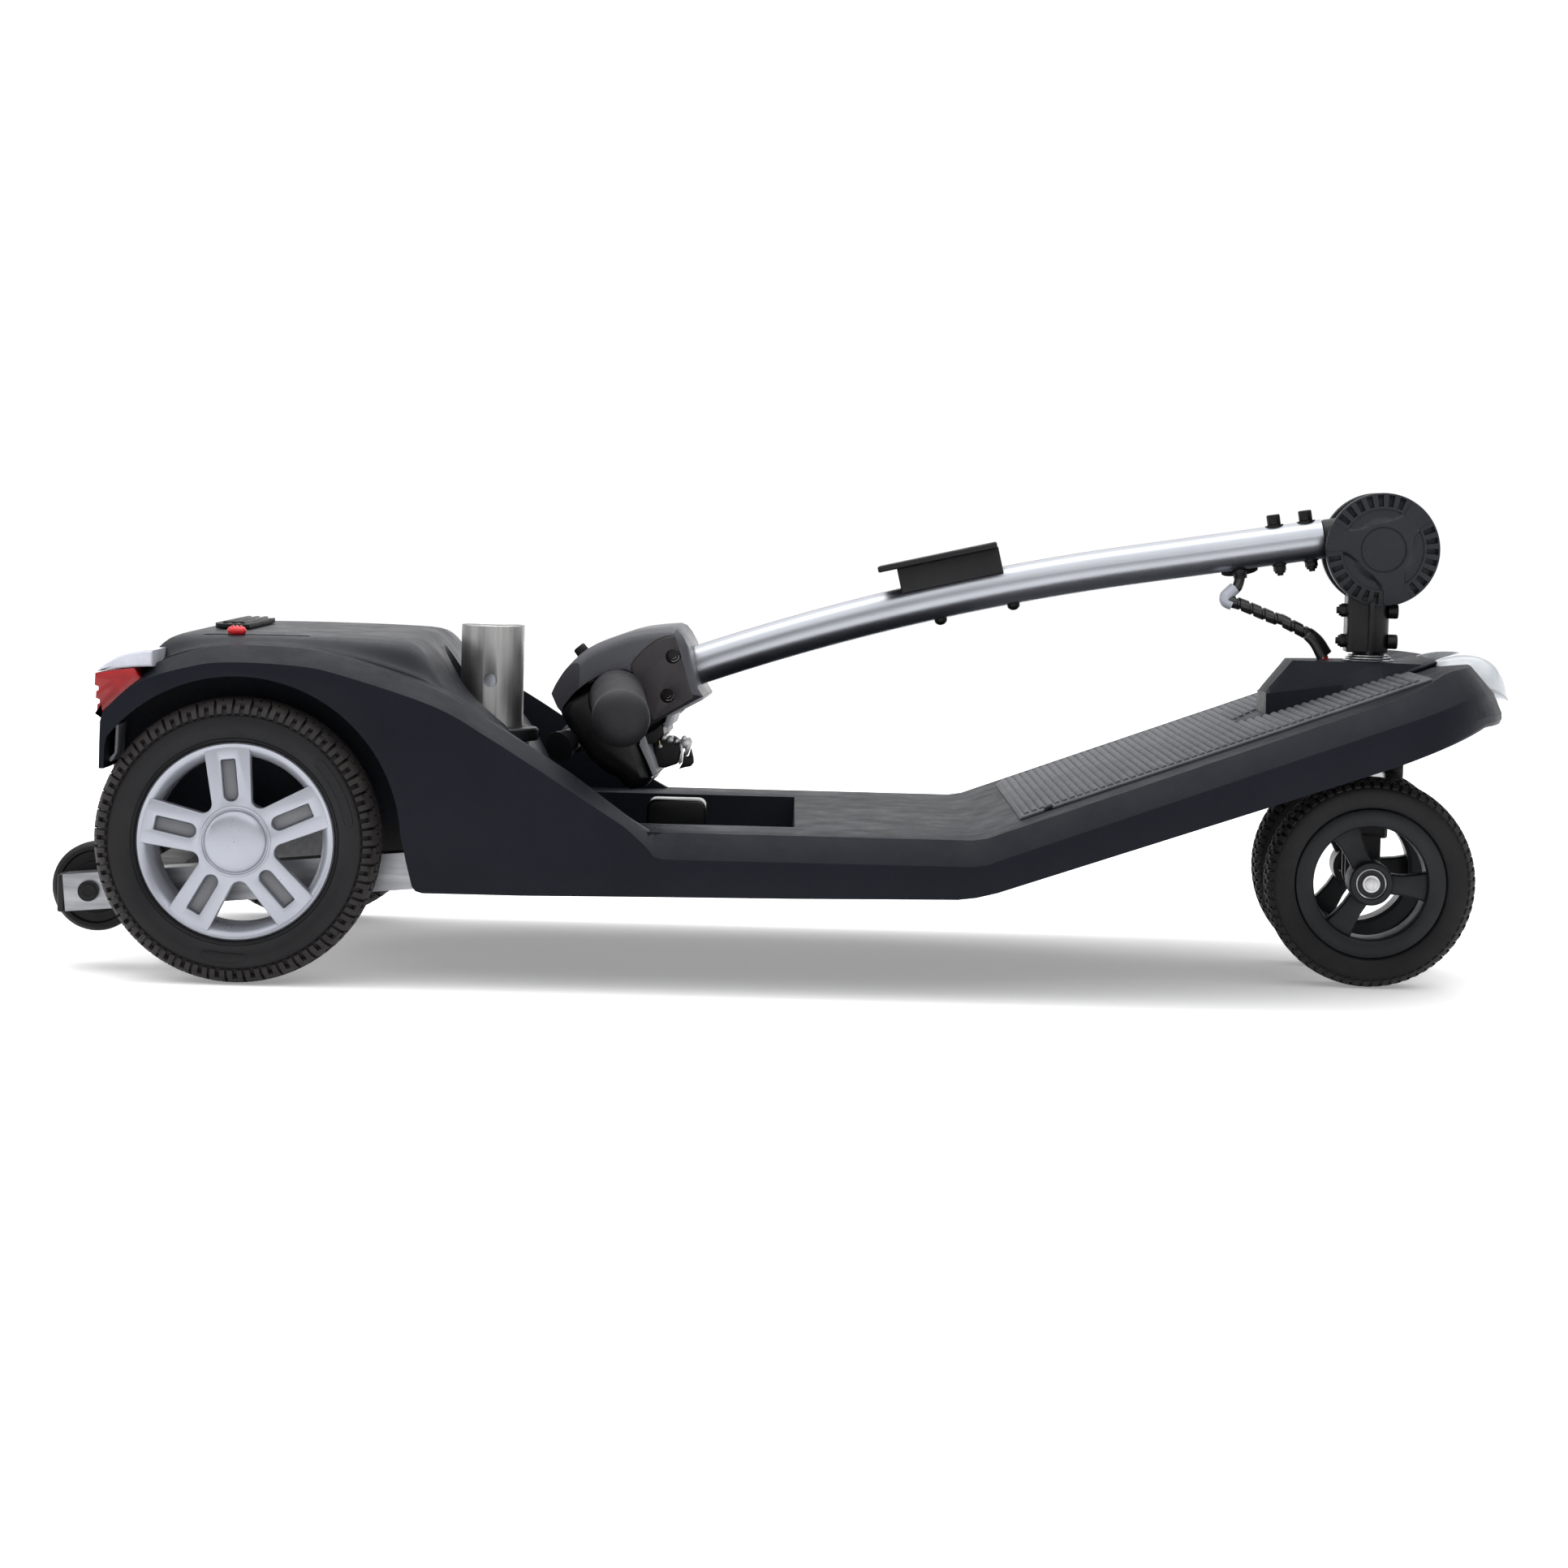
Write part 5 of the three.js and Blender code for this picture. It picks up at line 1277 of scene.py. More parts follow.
CABLE_CLIP = (344.0, -5.0, 252.5)      # where the cable stops following the tiller
CABLE_BASE = (374.0, -2.0, 226.0)      # where it enters the front shroud


def steered_point(point, share=1.0):
    """A point turned about the steering axis by a share of the resting steering angle."""
    c, s = math.cos(REST_STEER * share), math.sin(REST_STEER * share)
    dx = point[0] - STEER_X
    return (STEER_X + dx * c - point[1] * s, dx * s + point[1] * c, point[2])


def ellipse(half_u, half_v, steps=20):
    return [(half_u * math.cos(k / steps * TAU), half_v * math.sin(k / steps * TAU)) for k in range(steps)]


def grommet(foot, up, along):
    """The rubber saddle where the cable leaves the tube, with a ringed collar below it."""
    half_length, half_width, steps = 13.0, 6.4, 12
    points, radii = [], []
    for k in range(steps + 1):
        share = (k / steps - 0.5) * 2
        points.append(foot + along * (half_length * share) + up * (0.2 - 1.5 * share ** 2))
        radii.append(max(half_width * math.sqrt(max(1 - share ** 2, 0.03)), 0.8))
    saddle = swept(points, radii, section=ellipse(0.22, 1.0))
    return saddle.join(rod(foot - up * 0.5, foot - up * 6.5, 5.4, 4.6, 32,
                           rings=((0.35, 5.2), (0.42, 4.3), (0.58, 4.3), (0.65, 5.0))))


def make_cable():
    """The lead between tiller and chassis: drawn turned with the steering above its clip, the turn fading out
    below it.
    """
    centre, up = tube_at(66.5)
    foot = centre - up * (TUBE_R - 0.4)
    along = Vector((up.z, 0, -up.x))
    stub = smooth_line([foot + up * 2, foot - up * 4, (311.5, -2, 276.0), (307.5, -4, 272.5),
                        (304.0, -5, 269.0)], 6)
    sleeve = smooth_line([(309.5, -3, 274.6), (306.0, -4, 271.4), (303.4, -5, 268.6), (303.6, -5, 265.4),
                          (308.0, -5, 263.4)], 6)
    wrap = smooth_line([(304.5, -5, 265.6), (312.8, -5, 263.7), (325.6, -5, 258.9), (336.0, -5, 254.9),
                        CABLE_CLIP], 7)
    tail = smooth_line([CABLE_CLIP, (351.9, -5, 248.6), (360.0, -4, 244.6), (366.5, -3, 240.0)], 7)
    leads = smooth_line([(370.6, -3, 234.6), (373.0, -2, 230.0), (374.4, -2, 226.0), (375.0, -2, 219.0)], 6)

    stub, sleeve, wrap = ([steered_point(p) for p in line] for line in (stub, sleeve, wrap))
    tail = [steered_point(p, 1 - k / (len(tail) - 1)) for k, p in enumerate(tail)]

    build("cable_grommet", grommet(foot, up, along), BLACK, "tiller", slot="mat_rubber")
    blended("cable_stub", swept(stub, 3.8, 20), WRAP)
    blended("cable_sleeve", swept(sleeve, 4.6, 24), SLEEVE)
    upper = swept(wrap, 3.3, 20).join(ribbon_coil(wrap))
    blended("cable_wrap_upper", upper, WRAP, ("cable_upper",))
    lower = swept(tail, 3.3, 20).join(ribbon_coil(tail))
    skirt = [Vector((361.0, -4, 244.5)), Vector((366.0, -3.6, 240.5)), Vector((370.0, -3, 236.0)),
             Vector((374.5, -2.5, 228.5))]
    skirt_radii = [4.6] + [5.6 + 0.12 * k for k in range(15)]
    lower.join(swept(smooth_line(skirt, 5), skirt_radii, section=ellipse(1.0, 0.62)))
    blended("cable_wrap_lower", lower, WRAP, ("cable_lower",))
    wires = Shape()
    for dx, dy in ((-1.8, -1.0), (0.4, -1.6), (2.2, -1.2)):
        wires.join(swept([(p[0] + dx, p[1] + dy, p[2]) for p in leads], 0.9, 10))
    blended("cable_leads", wires, RED_WIRE)


def blended(name, shape, material, replaces=()):
    """A piece left in world space, attached to no body."""
    obj = raw_object(name, shape)
    obj.data.materials.append(material)
    obj.data.shade_smooth()
    obj.data.set_sharp_from_angle(angle=rad(40))
    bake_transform(obj)
    if replaces:
        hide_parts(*replaces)
    return obj


# ---------------------------------------------------------------- rear cover, lights and seat tube
COVER_STATIONS = [(-447.5, 190.0), (-447.0, 204.0), (-438.0, 215.5), (-430.0, 224.0), (-424.0, 227.6),
                  (-414.0, 228.9), (-390.0, 229.3), (-350.0, 229.4), (-310.0, 229.3), (-280.0, 229.0),
                  (-266.0, 228.2), (-259.0, 225.5), (-252.0, 218.5), (-244.0, 205.5), (-233.8, 189.0),
                  (-220.0, 177.5), (-206.0, 166.0), (-196.0, 151.5), (-186.0, 133.0), (-179.0, 118.5),
                  (-177.0, 107.5)]
COVER_SECTION = ((0.0, 0.0), (45.0, 0.0), (90.0, 0.004), (125.0, 0.015), (143.0, 0.045), (151.0, 0.10),
                 (156.5, 0.20), (160.0, 0.34), (163.0, 0.62), (165.6, 0.84), (167.6, 0.94), (170.0, 0.985),
                 (173.6, 1.0))


def fender_height(x):
    """Height of the wheel fender's inner edge."""
    rows = crest_path()
    return float(np.interp(x, [row[0] for row in rows], [row[6] for row in rows]))


def cover_rows(sink=0.0):
    rows = []
    for x, top in COVER_STATIONS:
        foot = min(fender_height(max(x, -456.0)) + 0.6, top - 2.5)
        half = [(y, top - share * (top - foot) - sink) for y, share in COVER_SECTION]
        rows.append([(x, -y, z) for y, z in reversed(half)] + [(x, y, z) for y, z in half[1:]])
    return rows


def make_rear_cover():
    recess_r, recess_floor = 36.0, 153.0
    rows = cover_rows()
    tail_wall = [(x, y, 150.0) for x, y, _ in rows[0]]
    foot_wall = [(x + 0.5, y, 104.3) for x, y, _ in rows[-1]]
    skin = lattice([tail_wall, *rows, foot_wall])
    slot_tool = prism(stadium(-403.5, -331.0, -151.0, -145.0), 200, 250, "xy")
    seat_tool = rod((SEAT_X, 0, recess_floor - 1.2), (SEAT_X, 0, 260), recess_r, recess_r, 72)
    low_tool = rod((SEAT_X, 0, 90), (SEAT_X, 0, recess_floor), 29.0, 29.0, 56)
    build("rear_cover_moulding", skin, COVER, "chassis", ("rear_cover",), solidify=WALL,
          after=(slot_tool, seat_tool, low_tool), subsurf=1, smooth=36)

    solid_rows = [[(*row[0][:2], 100.0), *row, (*row[-1][:2], 100.0)] for row in cover_rows(0.4)]
    lining = upright([(recess_r + 0.05, recess_floor - 2), (recess_r + 0.05, 250), (recess_r + 2.5, 250),
                       (recess_r + 2.5, recess_floor - 2)], SEAT_X, 72)
    build("seat_recess_lining", lining, COVER, "chassis", keepers=(capped(solid_rows),), smooth=36)

    floor = rounded_prism(stadium(-406.0, -328.5, -153.5, -142.5), 219.0, 221.5, 0.5, "xy")
    build("lever_slot_floor", floor, BLACK, "chassis")

    bar_x, top = -394.5, 229.6
    plate = rounded_box(bar_x - 12, bar_x + 12, -71, 71, top, top + 3.6, 2.4, 0.9)
    for k in range(-1, 2):
        plate.join(rounded_box(bar_x + 6 * k - 1.6, bar_x + 6 * k + 1.6, -65, 65, top + 3.0, top + 5.0, 1.2,
                               0.6))
    for k in range(-22, 23):
        for edge in (-1, 1):
            x = bar_x + edge * 11.6
            plate.join(rounded_box(x - 0.8, x + 0.8, k * 3 - 0.8, k * 3 + 0.8, top + 0.6, top + 3.9, 0.4,
                                   0.3))
    build("grip_bar_ribbed", plate, BLACK, "chassis", ("rear_grip_bar",), bevel=0.3)

    knob_x = middle("freewheel_slider")[0]
    knob = rounded_prism(stadium(knob_x - 6.6, knob_x + 6.6, -153.0, -143.0, 10), top - 1.2, top + 4.6, 3.2,
                         "xy", 6)
    for k in (-1, 0, 1):
        knob.join(rounded_box(knob_x + 2.6 * k - 0.5, knob_x + 2.6 * k + 0.5, -151.0, -145.0, top + 4.0,
                              top + 5.3, 0.4, 0.3))
    knob.join(block(knob_x - 2, knob_x + 2, -150, -146, 205, top))
    knob.join(block(knob_x - 8, knob_x + 8, -155, -141, 214, 217))
    build("freewheel_knob", knob, RED, "freewheel_lever", ("freewheel_slider",), bevel=0.3)


def make_tail_lights():
    ridge = []
    for k in range(3):
        z = 200.0 - 8.6 * k
        x = -464.4 + 0.9 * k
        ridge += [(x, z), (x - 0.2, z - 4.4), (x + 2.4, z - 5.4), (x + 2.5, z - 7.6)]
    red_outline = [(-438.5, 207.4), (-451.0, 206.0), (-464.3, 203.6), *ridge, (-461.8, 176.6),
                   (-457.6, 178.6), (-447.0, 187.6), (-437.0, 197.0), (-434.0, 200.5)]
    hood_outline = [(-426.8, 208.6), (-426.6, 219.2), (-433.0, 219.0), (-441.0, 217.6), (-449.0, 215.2),
                    (-456.0, 211.0), (-461.5, 206.8), (-463.4, 204.3), (-451.0, 206.7), (-438.5, 208.1)]
    for side, name in SIDES:
        low, high = on_side(side, 151.5, 221.5)
        red = rounded_prism(red_outline, low, high, 1.2)
        build("tail_lens_red_" + name, red, RED_LENS, "chassis", ("tail_light_" + name,), smooth=24)
        hood = rounded_prism(hood_outline, low + 0.5, high - 0.5, 2.2)
        build("tail_lens_clear_" + name, hood, FROSTED_LENS, "chassis", smooth=30)
        bracket = Shape()
        line = [(-452.6, 169.0), (-452.9, 158.0), (-453.3, 150.0), (-456.5, 146.6), (-461.0, 145.2),
                (-463.2, 141.8)]
        low, high = on_side(side, 152.0, 206.0)
        outline = line + [(x + 1.9, z - 2.1 if k > 2 else z) for k, (x, z) in reversed(list(enumerate(line)))]
        bracket.join(rounded_prism(outline, low, high, 0.5))
        build("tail_bracket_" + name, bracket, GREY_PLASTIC, "chassis", bevel=0.4)


def make_seat_tube():
    bottom, top, outer = 96.8, 235.0, 22.4
    profile = [(outer - 2.5, bottom), (outer, bottom), (outer, top - 0.7), (outer - 0.6, top),
               (outer - 1.9, top), (outer - 2.5, top - 0.7)]
    tube = upright(profile, SEAT_X, 96)
    hole = rod((SEAT_X, -60, 196), (SEAT_X, 60, 196), 4.8, 4.8, 40)
    build("seat_tube_drawn", tube, SEAT_STEEL, "chassis", ("seat_post_tube",), cutters=(hole,), bevel=0.35,
          smooth=30)
    # A lighter, bluish silver lining just inside the wall, not cut by the cross hole: painted light, so the
    # hole shows a pale disc as if light came through the tube.
    painted_light_liner = upright([(19.3, 100.0), (19.85, 100.0), (19.85, 231.0), (19.3, 231.0)], SEAT_X, 72)
    build("seat_tube_painted_light_liner", painted_light_liner, RIM_SILVER, "chassis", slot="raw_steel", smooth=30)
    collar = upright([(22.8, 150.0), (27.0, 96.8), (27.0, 152.6), (32.8, 153.3), (33.8, 154.3),
                      (33.8, 161.0), (32.6, 162.4), (24.2, 162.9), (22.8, 162.0)], SEAT_X, 80)
    split = block(SEAT_X + 20, SEAT_X + 45, -1.6, 1.6, 152.8, 175)
    build("seat_tube_collar", collar, BLACK, "chassis", ("seat_post_socket",), cutters=(split,), bevel=0.4,
          smooth=30)


def make_connector():
    low, high = span("battery_connector")
    housing = rounded_box(low[0], high[0], low[1], high[1], low[2], high[2], 6.0, 1.4, "xz")
    rim = rounded_box(low[0] + 1.5, high[0] - 1.5, low[1] - 0.6, low[1] + 4, low[2] + 14, high[2] - 1.2,
                      5.0, 0.6, "xz")
    build("connector_housing", housing, GLOSS_BLACK, "chassis", ("battery_connector",), bevel=0.5)
    build("connector_front", rim, BLACK, "chassis", bevel=0.4)


# ---------------------------------------------------------------- foot mat, front shroud and nose light
def on_ramp(x, lift=0.0):
    """A point's height on the ramp, with lift measured upright."""
    return ramp_top(x) + lift


# (x, half width) of the shroud's foot
FLANGE = ((312.5, 8.0), (315.5, 16.0), (321.0, 23.0), (331.0, 34.0), (345.0, 40.5), (383.0, 52.0),
          (410.0, 60.0), (436.0, 64.0), (446.0, 60.0))


def flange_half(x):
    return float(np.interp(x, [p[0] for p in FLANGE], [p[1] for p in FLANGE]))


def flange_outline():
    return [(x, -half) for x, half in FLANGE] + [(x, half) for x, half in reversed(FLANGE)]


MAT_RIB = ((-2.0, 1.7), (-1.9, 2.6), (-1.45, 3.35), (-0.7, 3.75), (0.7, 3.75), (1.45, 3.35), (1.9, 2.6),
           (2.0, 1.7))


def make_mat():
    x0, x1, half, lift = 152.0, 427.0, 163.0, 0.3
    slab = Shape()
    rows = []
    for x, drop in ((x0, 1.5), (x0 + 1.2, 0.0), (x1 - 1.2, 0.0), (x1, 1.5)):
        rows.append([(x, -half, on_ramp(x, lift)), (x, -half, on_ramp(x, lift + 1.2 - drop * 0.5)),
                     (x, -half + 1.5, on_ramp(x, lift + 2.2 - drop)),
                     (x, half - 1.5, on_ramp(x, lift + 2.2 - drop)),
                     (x, half, on_ramp(x, lift + 1.2 - drop * 0.5)), (x, half, on_ramp(x, lift))])
    slab.join(capped(rows))
    ribs = Shape()
    pitch = 5.1
    count = int((x1 - x0 - 6) / pitch)
    for k in range(count):
        x = x0 + 4.5 + k * pitch
        gap = flange_half(x + 2.0) + 1.0
        bands = ((-half + 3, half - 3),) if x + 2.0 < FLANGE[0][0] else ((-half + 3, -gap), (gap, half - 3))
        for y0, y1 in bands:
            profile = [(x + u, v) for u, v in MAT_RIB]
            outline = [(u, on_ramp(u, lift + v)) for u, v in profile]
            ribs.join(rounded_prism(outline, y0, y1, 0.3, steps=2))
    build("foot_mat_ribs", ribs, MAT_RUBBER, "chassis", smooth=50)
    shroud_gap = prism(flange_outline(), 150, 260, "xy")
    notches = Shape()
    for side in (RIGHT, LEFT):
        low, high = on_side(side, half - 6, half + 2)
        notches.join(block(x0 + 16, x0 + 22, low, high, 100, 150))
    build("foot_mat_ribbed", slab, MAT_RUBBER, "chassis", ("foot_mat",), cutters=(shroud_gap, notches))


SHROUD_STATIONS = ((331.0, 28.5, 201.4, 27.6, 202.0, 20.0), (333.6, 30.0, 201.8, 28.8, 205.6, 20.6),
                   (349.6, 35.0, 204.4, 33.4, 225.2, 22.5), (383.0, 46.0, 210.0, 43.4, 225.5, 32.0),
                   (410.0, 54.0, 214.8, 51.2, 225.6, 40.0), (436.0, 57.5, 221.6, 54.4, 225.6, 47.0),
                   (450.0, 50.0, 223.8, 48.0, 225.2, 43.0))


def make_front_shroud():
    """Wedge over the steering head: upright sides, a crease, then a sloped shoulder up to the flat top."""
    rows = []
    for x, base_half, crease_z, crease_half, top_z, top_half in SHROUD_STATIONS:
        base_z = on_ramp(x, 0.4)
        crease_z = max(crease_z, base_z + 0.3)
        top_z = max(top_z, crease_z + 0.2)
        right = [(x, -base_half, base_z), (x, -crease_half, crease_z), (x, -top_half, top_z)]
        rows.append(right + [(px, -py, pz) for px, py, pz in reversed(right)])
    shell = capped(rows)
    stem_hole = rod((STEER_X, 0, 150), (STEER_X, 0, 260), 17.4, 17.4, 48)
    cable_hole = rod((CABLE_BASE[0] + 1, CABLE_BASE[1], 150), (CABLE_BASE[0] + 1, CABLE_BASE[1], 260), 6.4,
                     6.4, 32)
    build("front_shroud_moulding", shell, SHELL, "chassis", ("front_shroud",),
          cutters=(stem_hole, cable_hole), bevel=2.6, segments=4, smooth=34, angle=18)
    flange = Shape()
    outline = flange_outline()
    low = [(x, y, on_ramp(x, 0.35)) for x, y in outline]
    high = [(x, y, on_ramp(x, 2.9)) for x, y in outline]
    flange.join(capped([low, high]))
    build("front_shroud_flange", flange, SHELL, "chassis", cutters=(stem_hole, cable_hole), bevel=1.2,
          segments=3)


NOSE_LENS = ((444.0, 57.0, 227.0, 222.0), (448.0, 62.0, 229.4, 221.0), (458.0, 65.0, 232.2, 216.0),
             (468.0, 66.0, 233.6, 209.0), (478.0, 65.0, 233.0, 203.5), (486.0, 61.5, 230.0, 200.5),
             (492.5, 54.5, 224.6, 199.0), (497.5, 44.5, 217.6, 198.2), (501.0, 33.5, 211.0, 198.0),
             (502.8, 22.0, 206.0, 198.8))


def lens_rows():
    rows = []
    for x, half, top, low in NOSE_LENS:
        arch = [(-half, low), (-half, low + (top - low) * 0.35), (-half * 0.93, low + (top - low) * 0.72)]
        arch += [(-half * math.cos(rad(t)) ** 0.8, top - 0.12 * (top - low) * (1 - math.sin(rad(t))))
                 for t in (40, 62)]
        rows.append([(x, y, z) for y, z in arch + [(0.0, top)] + [(-y, z) for y, z in reversed(arch)]])
    return rows


def make_nose_light():
    scoop = rod((421.0, 0, 190), (421.0, 0, 260), 50.0, 50.0, 72)
    build("nose_lens_clear", capped(lens_rows()), NOSE_CLEAR, "chassis", ("headlight_lens",), subsurf=1,
          smooth=40, after=(scoop,), bevel=0.8, angle=40)
    rim = Shape()
    for side in (RIGHT, LEFT):
        line = [(x - 0.6, side * (half - 0.9), low + (top - low) * 0.30) for x, half, top,
                low in NOSE_LENS[1:]]
        rim.join(swept(smooth_line(line, 4), 0.9, 12))
    build("nose_lens_seams", rim, GREY_PLASTIC, "chassis", slot="clear_lens")


# ---------------------------------------------------------------- console, handlebar and throttle
BAR_LINE = [Vector((-110.5, -187.0, 179.5)), Vector((-124.0, -66.0, 187.0)), Vector((-124.0, 66.0, 187.0)),
            Vector((-110.5, 187.0, 179.5))]
CROWN_HALF = 56.0
CHEEK_HOLES = ((-83.7, 219.5), (-86.9, 191.7))
LOWER_HALF = 48.0
CONSOLE_SHIFT = Vector((-3.0, 0.0, -2.8))


def console_piece(name, shape, material, replaces=(), cutters=(), fixed=(), **finish):
    """A console piece on the tiller, moved with its own cutters by CONSOLE_SHIFT. fixed cutters stay put."""
    moved = [tool.moved(CONSOLE_SHIFT) for tool in cutters]
    build(name, shape.moved(CONSOLE_SHIFT), material, "tiller", replaces, cutters=(*moved, *fixed), **finish)


CHEEK_LINE = [(-83.1, 234.2), (-90.0, 232.6), (-96.4, 229.6), (-104.6, 222.9), (-110.2, 216.4),
              (-112.6, 212.2), (-112.2, 208.0), (-108.0, 199.7), (-101.2, 183.9), (-97.5, 174.6),
              (-96.0, 173.6), (-84.3, 180.4), (-69.4, 189.6), (-68.6, 191.2), (-74.1, 204.2),
              (-78.6, 218.9)]


def make_crown():
    top = smooth_line([(-171.0, 190.0), (-167.5, 197.4), (-159.9, 208.6), (-149.5, 219.4), (-137.4, 227.4),
                       (-115.0, 236.0), (-98.0, 239.2), (-85.5, 240.4)], 5)
    front = [(-81.5, 239.0), (-77.6, 234.4), (-73.3, 226.8), (-65.8, 197.4), (-61.9, 191.6), (-83.5, 179.4)]
    outline = [tuple(p) for p in top] + front + [(-101.0, 168.0), (-125.0, 160.0), (-152.0, 168.0),
                                                 (-166.0, 180.5)]
    crown = rounded_prism(outline, -CROWN_HALF, CROWN_HALF, 10.0, steps=6)
    under = smooth_line([(-101.4, 176.0), (-106.0, 196.0), (-113.0, 207.6), (-121.0, 209.2), (-132.0, 206.2),
                         (-143.0, 200.2), (-153.5, 191.6), (-161.4, 181.8)], 4)
    hollow = prism([tuple(p) for p in under] + [(-172.0, 150.0), (-96.0, 140.0)], -80, 80)
    facets = Shape()
    for side in (RIGHT, LEFT):
        facets.join(prism([(-181.0, side * 30.0), (-181.0, side * 75.0), (-143.0, side * 75.0),
                           (-150.0, side * 54.5), (-164.5, side * 44.0)], 150, 260, "xy"))
    throat = rod(tube_at(TUBE_LENGTH - 34)[0], tube_at(TUBE_LENGTH + 4)[0], TUBE_R + 0.5, TUBE_R + 0.5, 56)
    wells = Shape()
    for x, z in CHEEK_HOLES:
        for side in (RIGHT, LEFT):
            wells.join(rod((x, side * 43.0, z), (x, side * 62.0, z), 5.9, 5.9, 40))
    seams = Shape()
    for side in (RIGHT, LEFT):
        low, high = on_side(side, 54.2, 60.0)
        seams.join(prism(inset_outline(CHEEK_LINE, -1.0), low, high))
    console_piece("console_crown", crown, CONSOLE, ("console_upper_shell",),
                  cutters=(hollow, facets, wells, seams), fixed=(throat,), bevel=1.2, segments=4, smooth=34,
                  angle=24)

    holes = Shape()
    screws = Shape()
    painted_shade_discs = Shape()
    for x, z in CHEEK_HOLES:
        holes.join(rod((x, -80, z), (x, 80, z), 5.1, 5.1, 40))
        for side in (RIGHT, LEFT):
            # A gloss-black disc at the floor of each cheek hole: painted shade, darkening the hole.
            painted_shade_discs.join(rod((x, side * 42.6, z), (x, side * 43.8, z), 5.7, 5.7, 40))
            # No screw heads here: two thin silver crescents at the lower right of each hole are painted
            # highlights, glints drawn as steel slivers.
            glint = [(u, side * 47.0, w) for u, w in arc(x, z, 3.7, -115, 15, 12)]
            screws.join(swept(glint, 0.62, 10))
            screws.join(swept([(u, side * 45.0, w) for u, w in arc(x - 0.6, z + 0.4, 2.2, -100, -10, 10)],
                              0.45, 10))
    for side, name in SIDES:
        low, high = on_side(side, 49.0, 56.6)
        console_piece("console_cheek_" + name, rounded_prism(CHEEK_LINE, low, high, 0.8), CHEEK,
                      cutters=(holes,), bevel=0.4)
    # The painted glint slivers of the cheek holes, as one piece.
    console_piece("cheek_painted_glints", screws, STEEL, bevel=0.2)
    # The painted shade discs at the floors of the cheek holes.
    console_piece("cheek_well_painted_shade", painted_shade_discs, GLOSS_BLACK)
    lip = [(-65.6, 192.4), (-61.6, 191.2), (-62.2, 189.2), (-84.6, 176.8), (-86.8, 168.6), (-89.4, 169.4),
           (-87.0, 178.8)]
    console_piece("console_lip", prism(lip, -47, 47), GREY_PLASTIC, bevel=0.3)


def make_lower_console():
    line = [(-163.6, 178.0), (-161.8, 172.6), (-152.0, 158.0), (-141.6, 143.6), (-132.0, 136.4),
            (-121.8, 131.4), (-116.8, 125.6), (-112.4, 123.6), (-103.6, 125.6), (-100.6, 127.4),
            (-97.0, 132.2), (-101.4, 143.0), (-106.4, 155.4), (-104.4, 161.2), (-95.0, 166.2),
            (-90.0, 171.0), (-90.0, 184.0), (-112.0, 204.0), (-138.0, 202.0), (-159.0, 188.0)]
    body = rounded_prism(line, -LOWER_HALF, LOWER_HALF, 7.0, steps=6)
    for side in (RIGHT, LEFT):
        low, high = on_side(side, 44.0, LOWER_HALF + 8.5)
        saddle = arc(-121.6, 188.6, 21.6, 0, 360, 40)[:-1]
        body.join(rounded_prism(saddle, low, high, 3.0, steps=4))
    console_piece("console_lower_body", body, GLOSS_BLACK, ("console_lower_shell",), bevel=0.8, segments=3,
                  smooth=34)
    trim = [(-105.4, 161.6), (-102.6, 162.2), (-93.6, 136.4), (-96.2, 133.2), (-99.4, 141.0), (-106.8, 156.0)]
    console_piece("console_edge_trim", prism(trim, -LOWER_HALF + 1.5, LOWER_HALF - 1.5), GREY_PLASTIC,
                  bevel=0.3)
    dark = [(-103.0, 176.0), (-90.5, 171.0), (-89.5, 163.5), (-95.0, 157.0), (-104.0, 156.0)]
    console_piece("console_inner_rib", rounded_prism(dark, -LOWER_HALF + 4, LOWER_HALF - 4, 1.0), BLACK,
                  bevel=0.4)


def make_bar_and_grips():
    """A bent handlebar with a ringed rubber grip on each end."""
    corners = [BAR_LINE[1].lerp(BAR_LINE[0], 0.95), *BAR_LINE[1:3], BAR_LINE[2].lerp(BAR_LINE[3], 0.95)]
    route = []
    for k, p in enumerate(corners):
        if k in (0, 3):
            route.append(p)
            continue
        before, after = corners[k - 1], corners[k + 1]
        start, end = p + (before - p).normalized() * 16, p + (after - p).normalized() * 16
        route += [start.lerp(p, t).lerp(p.lerp(end, t), t) for t in (0, 0.2, 0.4, 0.6, 0.8, 1.0)]
    build("handlebar_bent", swept(route, 11, 40), BLACK_PAINT, "tiller", ("handlebar",), bevel=0.6)
    radius, dome = 19.6, 12.0
    for foot, tip, name in ((BAR_LINE[1], BAR_LINE[0], "right"), (BAR_LINE[2], BAR_LINE[3], "left")):
        axis = (tip - foot).normalized()
        start, edge = foot + axis * 2.0, tip + axis * 3.1
        reach = (edge - start).length
        total = reach + dome
        rings = []
        for at in np.arange(0.0, reach, 1.0):
            r = radius - 0.4
            if at < 3.0:
                r = radius + 0.4
            elif (at % 9.0) < 2.0 and 8.0 < at < reach - 14:
                r = radius - 1.1
            elif at > reach - 12:
                r = radius
            rings.append((max(float(at), 0.01) / total, r))
        for k in range(15):
            a = k / 15 * math.pi / 2
            rings.append(((reach + dome * math.sin(a)) / total, radius * math.cos(a) ** 0.8))
        grip = rod(start, start + axis * total, radius - 1.5, 0.3, 72, rings=rings)
        build("grip_rubber_" + name, grip, GRIP_RUBBER, "tiller", ("grip_" + name,), smooth=40)


